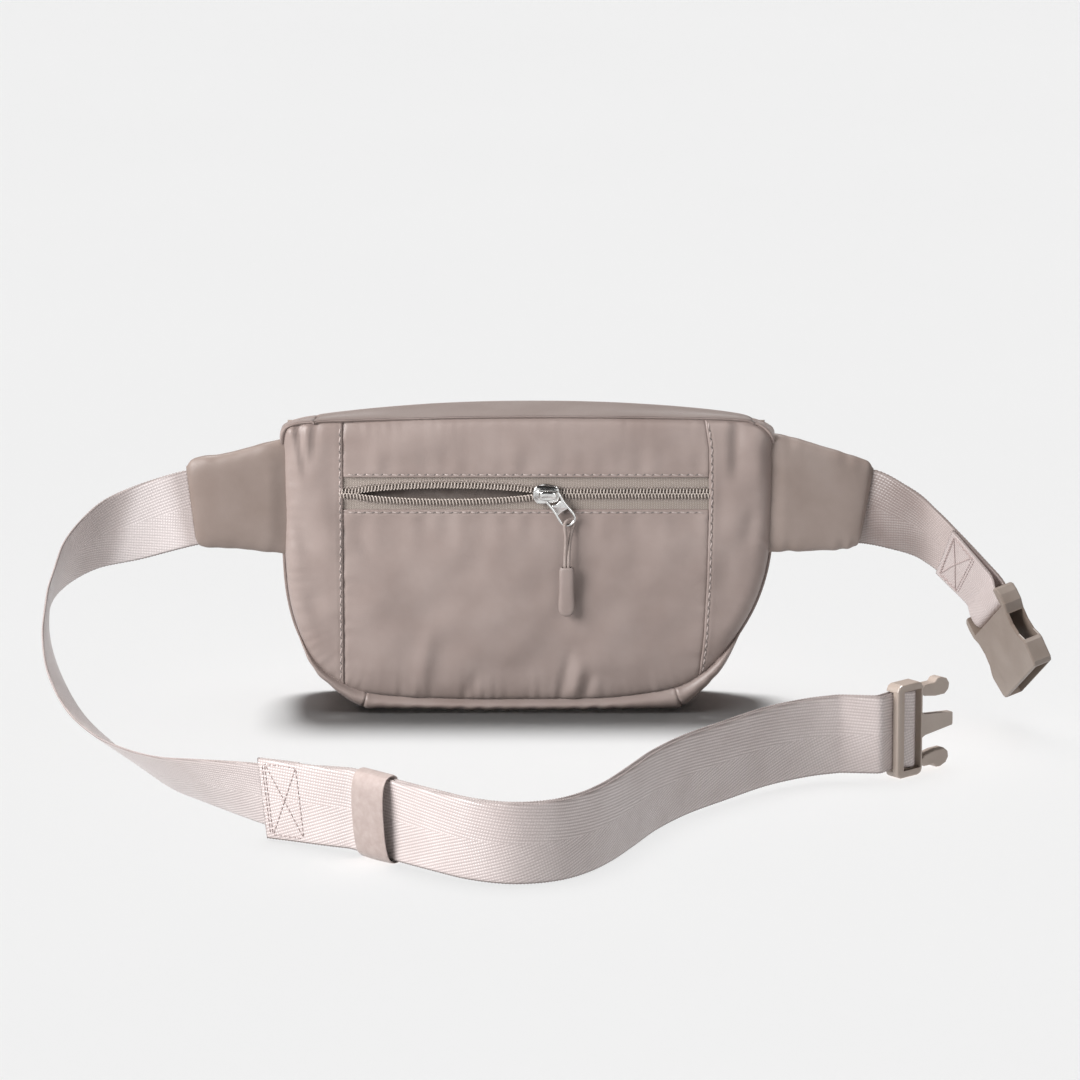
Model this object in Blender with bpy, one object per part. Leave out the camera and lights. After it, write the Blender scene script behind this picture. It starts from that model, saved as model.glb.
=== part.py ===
"""Money belt: a small zipped belt bag with two padded wings and a webbing belt.

The bag stands on its bottom gusset.  X runs along the belt, Y points away from
the wearer's side (the back panel faces -Y) and Z is up.  The origin is the
centre of the flat bottom.  Lengths below are in millimetres and become metres
when a mesh is made.
"""
import math

import bmesh
import bpy
from mathutils import Matrix, Vector

MM = 0.001
GAP = 0.3

# Bag body
BACK_FACE = -23.0
PANEL_THICKNESS = 1.4
FRONT_HEIGHT_RATIO = 0.987
GUSSET_HALF_DEPTH = 21.2
GUSSET_THICKNESS = 1.2
GUSSET_CROWN = 7.0
SIDE_SEAM = 89.8
LINING_INSET = 1.8
LINING_THICKNESS = 0.5
POCKET_LINING_FACE = -14.5

# The seam line between panel and gusset, as (x, z), in four runs that meet at
# the gusset's four joints.
BOTTOM_RUN = [(-79, 9.6), (-60, 7.4), (-30, 6.3), (0, 6.3), (30, 6.5), (52, 8.2), (74, 12.2)]
RIGHT_RUN = [(74, 12.2), (87, 19.5), (99, 31.5), (109, 46), (116, 62), (120, 80),
             (121.5, 105), (121.5, 130), (119.5, 141), (112, 146.8)]
TOP_RUN = [(112, 146.8), (98, 148.6), (55, 149.5), (8, 149.8), (-40, 149.3), (-88, 147.9),
           (-104, 147.2)]
LEFT_RUN = [(-104, 147.2), (-114, 144.8), (-118.5, 138), (-119.3, 120), (-119, 100), (-119, 78),
            (-117, 57), (-112, 39), (-103.5, 24.5), (-92, 15), (-79, 9.6)]

# Gusset section: (y, share of the crown) from the back seam to the front seam.
GUSSET_SECTION = [(-21.2, 0.05), (-20.4, 0.4), (-17.5, 0.76), (-9.5, 1.0),
                  (9.5, 1.0), (17.5, 0.76), (20.4, 0.4), (21.2, 0.05)]

# Zips
ZIP_HALF_WINDOW = 7.9
TAPE_HALF_WIDTH = 15.0
TAPE_BACK = -20.9
TAPE_FRONT = -21.3
COIL_BACK = -21.6
COIL_FRONT = -23.1
COIL_HEIGHT = 3.1
HALF_SLIT = 0.5
ZIP_OPENING = 6.4
BACK_ZIP_HEIGHT = 111.8
BACK_ZIP_HALF_LENGTH = 89.3
BACK_ZIP_OPEN = (-84.0, 6.0)
BACK_SLIDER_X = 9.9
MAIN_ZIP_HEIGHT = 124.0
MAIN_ZIP_HALF_LENGTH = 106.0
MAIN_SLIDER_X = 92.0

# Slider, pull tab, cord and grip, measured from the slider's middle
PIVOT_X = 2.3
TAB_ANGLE = 35.0
TAB_LENGTH = 18.2
TAB_MIDDLE = -25.75
TAB_THICKNESS = 1.1
CORD_RADIUS = 0.75
CORD_BAR_REACH = 15.6
GRIP_MIDDLE = -28.6
GRIP_TOP = 35.8
GRIP_LENGTH = 25.0

# Wings
WING_BACK = -20.0
WING_FRONT = -11.0
LEFT_FOLD_X = -127.8
RIGHT_FOLD_X = 129.8
WING_WALL = 1.0
LEFT_WING = [(-121, 138), (-139, 132.7), (-151.8, 129.7), (-160.4, 129.0), (-165.5, 126.8),
             (-167.4, 122.6), (-162.2, 84.6), (-159.7, 83.1), (-146.9, 82.6), (-134, 81.4),
             (-121, 79.5)]
RIGHT_WING = [(121, 141), (135, 137.6), (147.8, 133.7), (164.6, 128.2), (169.6, 126),
              (171, 122.6), (164.3, 85.4), (160.2, 82.6), (144.9, 81.1), (121, 80.5)]

# Belt webbing
WEB_WIDTH = 38.1
WEB_THICKNESS = 1.3
LAYER_SPACING = 2.6

# Long strap: (x, y, z, roll in degrees), from the left wing's tip down to the
# surface.  Roll is the lean of the webbing's width away from upright.
LEFT_ROUTE = [
    (-153, -15, 103.6, 0), (-164.8, -15.4, 103, 2), (-189, -22.7, 97.7, -4),
    (-212, -32, 91, -21), (-228, -49, 80, -23), (-232.7, -69, 64.7, -5),
    (-230, -89.6, 48.6, 19), (-222.4, -110, 34, 38), (-210, -130, 23.3, 51),
    (-194.8, -150, 16.5, 54), (-178.8, -170, 13.2, 49), (-162, -190, 13.5, 45),
    (-144.6, -209, 15.4, 36), (-126, -227, 17.1, 26), (-106.8, -242.5, 18.4, 18),
    (-92, -252.5, 19.8, 9)]
# The doubled stretch between keeper and buckle: the middle line of both layers.
DOUBLE_ROUTE = [
    (-80, -264, 20.8), (-62, -280.7, 20.8), (-40, -301, 20.8), (-24, -312, 20.2),
    (-6, -316.5, 19.6), (12, -312, 19.4), (26, -300, 19.4), (38, -281, 19.5),
    (49, -256, 19.6), (60, -230, 19.8), (75, -205, 20.2), (94, -183, 20.9),
    (114, -162, 21.8), (134, -149, 22.6), (150, -143.6, 23.1)]
TAIL_END_ROUTE = [(-122, -244.5, 20.1), (-106, -252, 20.2), (-92.5, -259, 20.4)]
KEEPER_PLACE = (-67, -276.0)
KEEPER_WIDTH = 20.0

# Short strap: (x, y, z, roll in degrees), from the right wing's tip
RIGHT_ROUTE = [
    (153, -15, 104.6, 0), (167.3, -15.2, 103.8, -1), (179.6, -17.8, 100.2, 13),
    (191.1, -21.4, 95.6, 21), (200.9, -27, 89.3, 25), (209.6, -33.2, 81.9, 25),
    (215.4, -37.9, 75.9, 23)]
HEM_START = 4

# Male buckle half: x along the prongs, y to the back, z along the bar
MALE_PLACE = (175.2, -141.6, 23.4)
MALE_YAW = 42.0
MALE_LENGTH = 17.0
MALE_HALF_HEIGHT = 23.2
MALE_HALF_DEPTH = 4.25
MALE_SLOT = (4.3, 15.6, 19.6)
MALE_BAR = (11.5, 1.2, 1.5)
ARM_PIVOT = (18.6, 17.5)
ARM_OUTLINE = [(17.6, 16.6), (20, 14.6), (27, 13.4), (33, 13.4), (35.6, 15.4), (36.2, 18.4),
               (34.4, 21.0), (30.5, 22.4), (27.8, 22.2), (26.2, 20.4), (20, 20.4), (17.6, 18.4)]

# Female buckle half: x from the bar end to the mouth, y to the back, z along the bar
FEMALE_PLACE = (226.7, -45.0, 63.3)
FEMALE_LENGTH_AXIS = (0.434, -0.435, -0.789)
FEMALE_BAR_AXIS = (0.262, -0.776, 0.573)
FEMALE_LENGTH = 44.0
FEMALE_HALF_WIDTH = 24.6
FEMALE_HALF_DEPTH = 5.2
FEMALE_BAR = (3.0, 2.0)


def material(name, color, roughness, metallic=0.0):
    mat = bpy.data.materials.new(name)
    mat.use_nodes = True
    shader = mat.node_tree.nodes["Principled BSDF"]
    shader.inputs["Base Color"].default_value = (*color, 1.0)
    shader.inputs["Roughness"].default_value = roughness
    shader.inputs["Metallic"].default_value = metallic
    return mat


def add_object(name, vertices, faces, mat, smooth_angle=None):
    """A mesh object from millimetre vertices, with its faces turned outwards."""
    mesh = bpy.data.meshes.new(name)
    mesh.from_pydata([Vector(v) * MM for v in vertices], [], faces)
    bm = bmesh.new()
    bm.from_mesh(mesh)
    bmesh.ops.recalc_face_normals(bm, faces=bm.faces)
    bm.to_mesh(mesh)
    bm.free()
    if smooth_angle:
        mesh.shade_smooth()
        mesh.set_sharp_from_angle(angle=math.radians(smooth_angle))
    obj = bpy.data.objects.new(name, mesh)
    bpy.context.collection.objects.link(obj)
    obj.data.materials.append(mat)
    return obj


def catmull(points, steps, closed=False):
    """Points on a smooth curve through the given points, steps per span."""
    pts = [Vector(p) for p in points]
    count = len(pts)
    spans = count if closed else count - 1
    out = []
    for i in range(spans):
        p1, p2 = pts[i], pts[(i + 1) % count]
        p0 = pts[(i - 1) % count] if closed or i > 0 else p1 * 2 - p2
        p3 = pts[(i + 2) % count] if closed or i < count - 2 else p2 * 2 - p1
        for k in range(steps):
            t = k / steps
            out.append(0.5 * (2 * p1 + (p2 - p0) * t + (2 * p0 - 5 * p1 + 4 * p2 - p3) * t ** 2
                              + (3 * p1 - p0 - 3 * p2 + p3) * t ** 3))
    if not closed:
        out.append(pts[-1])
    return out


def seam_outline():
    """The whole seam line and, for each run, the first and last index on it."""
    loop = []
    runs = {}
    for name, run in (("bottom", BOTTOM_RUN), ("right", RIGHT_RUN), ("top", TOP_RUN),
                      ("left", LEFT_RUN)):
        first = len(loop)
        loop.extend(run[:-1])
        runs[name] = (2 * first, 2 * len(loop))
    return catmull(loop, 2, closed=True), runs


def normals_of(outline):
    out = []
    count = len(outline)
    for i in range(count):
        step = (outline[(i + 1) % count] - outline[i - 1]).normalized()
        out.append(Vector((step.y, -step.x)))
    return out


def inset(outline, distance):
    return [p - n * distance for p, n in zip(outline, normals_of(outline))]


def clip(polygon, axis, limit, keep_below):
    """The part of a polygon on one side of the line where its axis equals limit."""
    sign = 1.0 if keep_below else -1.0
    out = []
    for i, b in enumerate(polygon):
        a = polygon[i - 1]
        in_a = sign * (limit - a[axis]) >= 0
        in_b = sign * (limit - b[axis]) >= 0
        if in_a != in_b:
            out.append(a.lerp(b, (limit - a[axis]) / (b[axis] - a[axis])))
        if in_b:
            out.append(b)
    return out


def slab(name, polygon, y_low, y_high, mat, bevel=0.0):
    """A polygon in the XZ plane given depth along Y."""
    count = len(polygon)
    vertices = [(p[0], y_low, p[1]) for p in polygon] + [(p[0], y_high, p[1]) for p in polygon]
    faces = [tuple(range(count)), tuple(range(2 * count - 1, count - 1, -1))]
    faces += [(i, (i + 1) % count, count + (i + 1) % count, count + i) for i in range(count)]
    obj = add_object(name, vertices, faces, mat)
    if bevel:
        add_bevel(obj, bevel)
    return obj


def column(name, polygon, z_low, z_high, mat):
    """A polygon in the XY plane given height along Z."""
    count = len(polygon)
    vertices = [(p[0], p[1], z_low) for p in polygon] + [(p[0], p[1], z_high) for p in polygon]
    faces = [tuple(range(count)), tuple(range(2 * count - 1, count - 1, -1))]
    faces += [(i, (i + 1) % count, count + (i + 1) % count, count + i) for i in range(count)]
    return add_object(name, vertices, faces, mat)


def block(name, low, high, mat):
    polygon = [(low[0], low[2]), (high[0], low[2]), (high[0], high[2]), (low[0], high[2])]
    return slab(name, polygon, low[1], high[1], mat)


def rod(name, centre, radius, z_low, z_high, mat, sides=16):
    ring = [(centre[0] + radius * math.cos(2 * math.pi * i / sides),
             centre[1] + radius * math.sin(2 * math.pi * i / sides)) for i in range(sides)]
    return column(name, ring, z_low, z_high, mat)


def add_bevel(obj, width, segments=2, angle=40.0):
    bevel = obj.modifiers.new("Bevel", "BEVEL")
    bevel.width = width * MM
    bevel.segments = segments
    bevel.limit_method = "ANGLE"
    bevel.angle_limit = math.radians(angle)


def combine(obj, other, operation):
    """Boolean of obj with other, which stays in the file as a hidden guide."""
    other.hide_render = True
    other.display_type = "WIRE"
    other.parent = obj.parent
    boolean = obj.modifiers.new(other.name, "BOOLEAN")
    boolean.operation = operation
    boolean.solver = "EXACT"
    boolean.object = other


def turn_front(obj):
    """Half a turn about Z, so that a piece made for the back faces the front."""
    obj.data.transform(Matrix.Rotation(math.pi, 4, "Z"))


def ribbon(name, stations, thickness, mat):
    """A strap solid through stations of (middle, width direction)."""
    vertices = []
    faces = []
    count = len(stations)
    for i, (middle, across) in enumerate(stations):
        ahead = stations[min(i + 1, count - 1)][0] - stations[max(i - 1, 0)][0]
        across = (across - ahead * (across.dot(ahead) / ahead.dot(ahead))).normalized()
        normal = ahead.cross(across).normalized()
        w = across * (WEB_WIDTH / 2)
        n = normal * (thickness / 2)
        vertices += [middle - w - n, middle + w - n, middle + w + n, middle - w + n]
    for i in range(count - 1):
        a, b = 4 * i, 4 * (i + 1)
        faces += [(a, a + 1, b + 1), (a, b + 1, b)]
        faces += [(a + 2, a + 3, b + 2), (a + 3, b + 3, b + 2)]
        faces += [(a + 1, a + 2, b + 2, b + 1), (a + 3, a, b, b + 3)]
    last = 4 * (count - 1)
    faces += [(0, 1, 2, 3), (last + 3, last + 2, last + 1, last)]
    return add_object(name, vertices, faces, mat)


def rolled_stations(route, steps):
    """Smooth stations along a route of (x, y, z, roll)."""
    curve = catmull(route, steps)
    out = []
    for i, point in enumerate(curve):
        ahead = (curve[min(i + 1, len(curve) - 1)] - curve[max(i - 1, 0)]).to_3d().normalized()
        up = (Vector((0, 0, 1)) - ahead * ahead.z).normalized()
        side = ahead.cross(up)
        roll = math.radians(point[3])
        out.append((point.to_3d(), up * math.cos(roll) + side * math.sin(roll)))
    return out


def build_panels(fabric, lining, outline):
    back_high = BACK_FACE + PANEL_THICKNESS
    centre = clip(clip(outline, 0, SIDE_SEAM - GAP / 2, True), 0, -SIDE_SEAM + GAP / 2, False)
    lower_lip = BACK_ZIP_HEIGHT - ZIP_HALF_WINDOW
    upper_lip = BACK_ZIP_HEIGHT + ZIP_HALF_WINDOW
    slab("back_panel_lower", clip(centre, 1, lower_lip, True), BACK_FACE, back_high, fabric)
    slab("back_panel_upper", clip(centre, 1, upper_lip, False), BACK_FACE, back_high, fabric)
    slab("back_panel_left", clip(outline, 0, -SIDE_SEAM - GAP / 2, True), BACK_FACE, back_high, fabric)
    slab("back_panel_right", clip(outline, 0, SIDE_SEAM + GAP / 2, False), BACK_FACE, back_high, fabric)
    front = [Vector((p.x, p.y * FRONT_HEIGHT_RATIO)) for p in outline]
    slot_low = MAIN_ZIP_HEIGHT - ZIP_HALF_WINDOW
    slot_high = MAIN_ZIP_HEIGHT + ZIP_HALF_WINDOW
    slab("front_panel_lower", clip(front, 1, slot_low, True), -back_high, -BACK_FACE, fabric)
    slab("front_panel_upper", clip(front, 1, slot_high, False), -back_high, -BACK_FACE, fabric)
    slab("back_pocket_lining", inset(outline, LINING_INSET), POCKET_LINING_FACE,
         POCKET_LINING_FACE + LINING_THICKNESS, lining)
    tub_back = POCKET_LINING_FACE + LINING_THICKNESS + GAP
    tub = slab("main_lining", inset(front, LINING_INSET), tub_back, -TAPE_BACK - 0.2, lining)
    hollow = slab("main_lining_hollow", inset(front, LINING_INSET + LINING_THICKNESS),
                  tub_back + LINING_THICKNESS, -TAPE_BACK - 0.2 - LINING_THICKNESS, lining)
    combine(tub, hollow, "DIFFERENCE")
    mouth = block("main_lining_mouth", (-MAIN_ZIP_HALF_LENGTH, 18, MAIN_ZIP_HEIGHT - 6),
                  (MAIN_ZIP_HALF_LENGTH, 24, MAIN_ZIP_HEIGHT + 6), lining)
    combine(tub, mouth, "DIFFERENCE")


def build_gusset(fabric, outline, runs):
    """Four bands between the panels, crowned outwards, flat where they stand."""
    normals = normals_of(outline)
    count = len(outline)
    for name, (first, last) in runs.items():
        indices = [i % count for i in range(first, last + 1)]
        rings = []
        for position, i in enumerate(indices):
            point, normal = outline[i].copy(), normals[i]
            along = Vector((-normal.y, normal.x))
            if position == 0:
                point += along * (GAP / 2)
            if position == len(indices) - 1:
                point -= along * (GAP / 2)
            crown = GUSSET_CROWN * (0.5 + 0.5 * max(0.0, -normal.y) - 0.35 * max(0.0, normal.y))
            outer = []
            inner = []
            for y, share in GUSSET_SECTION:
                forward = (y + GUSSET_HALF_DEPTH) / (2 * GUSSET_HALF_DEPTH)
                drop = 1.0 - (1.0 - FRONT_HEIGHT_RATIO) * forward
                place = Vector((point.x, point.y * drop))
                far = place + normal * crown * share
                near = far - normal * GUSSET_THICKNESS
                outer.append((far.x, y, max(far.y, 0.0)))
                inner.append((near.x, y, max(near.y, GUSSET_THICKNESS)))
            rings.append(outer + inner[::-1])
        width = len(rings[0])
        vertices = [v for ring in rings for v in ring]
        faces = []
        for r in range(len(rings) - 1):
            a, b = r * width, (r + 1) * width
            faces += [(a + k, a + (k + 1) % width, b + (k + 1) % width, b + k) for k in range(width)]
        half = width // 2
        for start in (0, (len(rings) - 1) * width):
            faces += [(start + k, start + k + 1, start + width - 2 - k, start + width - 1 - k)
                      for k in range(half - 1)]
        add_object(name + "_gusset", vertices, faces, fabric)


def zip_gap(x, opening):
    """Extra distance between the two rows of teeth at x."""
    if opening is None or not opening[0] < x < opening[1]:
        return 0.0
    return ZIP_OPENING * math.sin(math.pi * (x - opening[0]) / (opening[1] - opening[0])) ** 0.6


def build_zip(prefix, height, half_length, opening, tape_mat, coil_mat, front=False):
    steps = 24 if opening else 2
    xs = [-half_length + 2 * half_length * i / steps for i in range(steps + 1)]
    for row, sign in (("lower", -1), ("upper", 1)):
        inner = [(x, height + sign * (HALF_SLIT + zip_gap(x, opening) / 2)) for x in xs]
        tape = inner + [(half_length, height + sign * TAPE_HALF_WIDTH),
                        (-half_length, height + sign * TAPE_HALF_WIDTH)]
        coil = inner + [(x, z + sign * COIL_HEIGHT) for x, z in reversed(inner)]
        pieces = [slab(f"{prefix}_zip_tape_{row}", tape, TAPE_FRONT, TAPE_BACK, tape_mat),
                  slab(f"{prefix}_zip_coil_{row}", coil, COIL_FRONT, COIL_BACK, coil_mat)]
        for piece in pieces:
            if front:
                turn_front(piece)


def build_slider(prefix, x, height, metal, cord_mat, grip_mat, front=False):
    """Slider, pull tab, cord and moulded grip, hanging from a zip facing the back."""
    plate = [(x - 6.6, height - 2.6), (x - 5.0, height - 4.6), (x + 1.5, height - 4.6),
             (x + 6.6, height - 3.4), (x + 6.6, height + 3.4), (x + 1.5, height + 4.6),
             (x - 5.0, height + 4.6), (x - 6.6, height + 2.6)]
    slider = slab(prefix + "_slider", plate, -25.0, -23.4, metal)
    under = slab(prefix + "_slider_under", plate, -20.6, -19.7, metal)
    web = block(prefix + "_slider_web", (x - 4.5, -24.5, height - 0.22),
                (x - 2.5, -20.0, height + 0.22), metal)
    pivot = x + PIVOT_X
    bridge = block(prefix + "_slider_bridge", (pivot - 5.9, -27.6, height - 0.8),
                   (pivot + 3.3, -24.6, height + 0.8), metal)
    tunnel = block(prefix + "_slider_tunnel", (pivot - 4.9, -26.5, height - 2),
                   (pivot + 2.3, -25.0, height + 2), metal)
    combine(bridge, tunnel, "DIFFERENCE")
    for other in (under, web, bridge):
        combine(slider, other, "UNION")

    angle = math.radians(TAB_ANGLE)
    along = Vector((math.sin(angle), -math.cos(angle)))
    across = Vector((math.cos(angle), math.sin(angle)))

    def on_tab(points):
        return [Vector((pivot, height)) + along * a + across * b for a, b in points]

    tab_low = TAB_MIDDLE - TAB_THICKNESS / 2
    tab_high = TAB_MIDDLE + TAB_THICKNESS / 2
    tab_outline = [(-0.7, -3.4), (0.2, -4.2), (6, -3.9), (12, -4.1), (15.6, -4.3), (17.4, -3.2),
                   (TAB_LENGTH, -1.4), (TAB_LENGTH, 1.4), (17.4, 3.2), (15.6, 4.3), (12, 4.1),
                   (6, 3.9), (0.2, 4.2), (-0.7, 3.4)]
    tab = slab(prefix + "_pull_tab", on_tab(tab_outline), tab_low, tab_high, metal)
    eye = slab(prefix + "_pull_tab_eye", on_tab([(0.6, -3.3), (4.7, -3.3), (4.7, 3.3), (0.6, 3.3)]),
               tab_low - 1, tab_high + 1, metal)
    window_outline = [(10.4, -2.6), (15.2, -3.1), (16.6, -1.6), (16.6, 1.6), (15.2, 3.1), (10.4, 2.6)]
    window = slab(prefix + "_pull_tab_window", on_tab(window_outline), tab_low - 1, tab_high + 1, metal)
    for other in (eye, window):
        combine(tab, other, "DIFFERENCE")

    knot = Vector((pivot, height)) + along * CORD_BAR_REACH
    grip_x = knot.x - 1.1
    top = height - GRIP_TOP
    cord_route = [(grip_x - 0.9, GRIP_MIDDLE, top + GAP), (grip_x - 0.6, -28.4, top + 7),
                  (grip_x - 0.1, -28.0, top + 14), (knot.x - 0.5, -27.6, knot.y - 3.5),
                  (knot.x, -27.2, knot.y - 0.6), (knot.x, -25.8, knot.y + 0.25),
                  (knot.x, -24.4, knot.y - 0.6), (knot.x + 0.6, -24.7, knot.y - 4),
                  (knot.x + 0.8, -26.4, top + 14), (grip_x + 1.2, -28.2, top + 7),
                  (grip_x + 0.9, GRIP_MIDDLE, top + GAP)]
    cord = add_cord(prefix + "_pull_cord", cord_route, CORD_RADIUS, cord_mat)
    grip_outline = [(-3.4, 0), (3.4, 0), (3.7, -1), (3.8, -12), (4.2, -20), (3.9, -22.6), (2.6, -24.3),
                    (0, -GRIP_LENGTH), (-2.6, -24.3), (-3.9, -22.6), (-4.2, -20), (-3.8, -12), (-3.7, -1)]
    grip = slab(prefix + "_pull_grip", [(grip_x + a, top + b) for a, b in grip_outline],
                GRIP_MIDDLE - 2.1, GRIP_MIDDLE + 2.1, grip_mat, bevel=0.8)
    if front:
        for piece in (slider, under, web, bridge, tunnel, tab, eye, window, cord, grip):
            turn_front(piece)


def add_cord(name, route, radius, mat):
    """A round cord as a bevelled poly curve with filled ends."""
    curve = bpy.data.curves.new(name, "CURVE")
    curve.dimensions = "3D"
    curve.bevel_depth = radius * MM
    curve.bevel_resolution = 2
    curve.use_fill_caps = True
    points = catmull(route, 3)
    spline = curve.splines.new("POLY")
    spline.points.add(len(points) - 1)
    for target, point in zip(spline.points, points):
        target.co = (*(point * MM), 1.0)
    obj = bpy.data.objects.new(name, curve)
    bpy.context.collection.objects.link(obj)
    curve.materials.append(mat)
    return obj


def wing_solid(name, outline, fold_x, shrink, mat):
    """A pad whose root is a half round about the fold line and whose plan is outline."""
    half = (WING_FRONT - WING_BACK) / 2 - shrink
    middle = (WING_FRONT + WING_BACK) / 2
    side = math.copysign(1, fold_x)
    turns = [math.radians(a) for a in range(-90, 91, 30)]
    nose = [(fold_x - side * half * math.cos(a), middle + half * math.sin(a)) for a in turns]
    plan = nose + [(side * 190, middle + half), (side * 190, middle - half)]
    solid = column(name, plan, 60, 160, mat)
    centre = Vector((side * 145, 106))
    shrunk = [p - (p - centre).normalized() * shrink * 1.15 for p in map(Vector, outline)]
    combine(solid, slab(name + "_plan", shrunk, WING_BACK - 5, WING_FRONT + 5, mat), "INTERSECT")
    return solid


def build_wing(prefix, outline, fold_x, fabric, foam):
    side = math.copysign(1, fold_x)
    cover = wing_solid(prefix + "_wing_cover", outline, fold_x, 0.0, fabric)
    cavity = wing_solid(prefix + "_wing_cavity", outline, fold_x, WING_WALL, fabric)
    combine(cover, cavity, "DIFFERENCE")
    slot = block(prefix + "_wing_slot", (min(side * 158, side * 180), -17.2, 84.2),
                 (max(side * 158, side * 180), -13.4, 123.4), fabric)
    combine(cover, slot, "DIFFERENCE")
    core = wing_solid(prefix + "_wing_foam", outline, fold_x, WING_WALL + GAP, foam)
    trim = block(prefix + "_wing_foam_trim", (min(side * 151, side * 180), -30, 60),
                 (max(side * 151, side * 180), 0, 160), foam)
    combine(core, trim, "DIFFERENCE")


def male_matrix():
    return Matrix.Translation(MALE_PLACE) @ Matrix.Rotation(math.radians(MALE_YAW), 4, "Z")


def female_matrix():
    x = Vector(FEMALE_LENGTH_AXIS).normalized()
    z = Vector(FEMALE_BAR_AXIS)
    z = (z - x * z.dot(x)).normalized()
    turn = Matrix((x, z.cross(x), z)).transposed().to_4x4()
    return Matrix.Translation(FEMALE_PLACE) @ turn


def place(obj, matrix):
    """Move a piece made in millimetres about its own origin to its place."""
    metres = matrix.copy()
    metres.translation = matrix.translation * MM
    obj.data.transform(metres)


def build_straps(webbing):
    """The long webbing in two nodes that meet at the male buckle's bar."""
    matrix = male_matrix()
    bar_x, bar_y, bar_r = MALE_BAR
    reach = bar_r + 0.4 + WEB_THICKNESS / 2
    up = Vector((0, 0, 1))
    middle_line = catmull(DOUBLE_ROUTE, 2)
    front_layer = []
    back_layer = []
    for i, point in enumerate(middle_line):
        ahead = middle_line[min(i + 1, len(middle_line) - 1)] - middle_line[max(i - 1, 0)]
        away = up.cross(ahead).normalized() * (LAYER_SPACING / 2)
        front_layer.append((point - away, up))
        back_layer.append((point + away, up))
    entry_front = [(-8, -0.6), (0, 0.6), (4.4, 0.35), (8, -0.9)]
    entry_back = [(-8, 2.2), (0, 3.3), (4.4, 3.4), (8, 3.7)]
    turn = [(bar_x + reach * math.sin(math.radians(a)), bar_y + reach * math.cos(math.radians(a)))
            for a in (0, 28, 56, 76)]
    turn_front_side = [(x, 2 * bar_y - y) for x, y in turn]

    def local(points):
        return [(matrix @ Vector((x, y, 0)), up) for x, y in points]

    main = rolled_stations(LEFT_ROUTE, 2) + back_layer + local(entry_back) + local(turn)
    ribbon("long_strap", main, WEB_THICKNESS, webbing)
    tail = catmull(TAIL_END_ROUTE + [tuple(front_layer[0][0])], 2)[:-1]
    tail_stations = [(p, up) for p in tail] + front_layer + local(entry_front) + local(turn_front_side)
    ribbon("strap_tail", tail_stations, WEB_THICKNESS, webbing)


def build_right_strap(webbing):
    """The short strap: out of the wing, round the buckle's bar, sewn back on itself."""
    matrix = female_matrix()
    bar_x, bar_r = FEMALE_BAR
    reach = bar_r + 0.45 + WEB_THICKNESS / 2
    bar_axis = matrix.to_3x3() @ Vector((0, 0, 1))
    stations = rolled_stations(RIGHT_ROUTE, 2)
    normals = []
    for i, (middle, across) in enumerate(stations):
        ahead = stations[min(i + 1, len(stations) - 1)][0] - stations[max(i - 1, 0)][0]
        normals.append(across.cross(ahead).normalized())
    spacing = (WEB_THICKNESS + 0.4) / 2
    hem = 2 * HEM_START
    back = []
    front = []
    for i, (middle, across) in enumerate(stations):
        share = min(1.0, max(0.0, (i - hem + 4) / 4))
        back.append((middle + normals[i] * spacing * share, across))
        if i >= hem:
            front.append((middle - normals[i] * spacing, across))
    arc = [(bar_x + reach * math.sin(math.radians(a)), reach * math.cos(math.radians(a)))
           for a in (0, 30, 60, 90, 120, 150, 180)]
    neck = [(-7.0, 1.7), (-1.5, 2.8)]
    loop = neck + arc + [(x, -y) for x, y in reversed(neck)]
    turn = [(matrix @ Vector((x, y, 0)), bar_axis) for x, y in loop]
    ribbon("right_strap", back + turn + front[::-1], WEB_THICKNESS, webbing)


def build_keeper(fabric):
    ahead = (Vector(DOUBLE_ROUTE[2]) - Vector(DOUBLE_ROUTE[0])).to_2d().normalized()
    turn = Matrix.Rotation(math.atan2(ahead.y, ahead.x), 4, "Z")
    matrix = Matrix.Translation((*KEEPER_PLACE, 0)) @ turn
    half = KEEPER_WIDTH / 2
    outer = block("strap_keeper", (-half, -8.0, 0.2), (half, 3.9, 41.8), fabric)
    inner = block("strap_keeper_inside", (-half - 1, -7.1, 1.1), (half + 1, 3.0, 40.9), fabric)
    for piece in (outer, inner):
        place(piece, matrix)
    combine(outer, inner, "DIFFERENCE")


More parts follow.
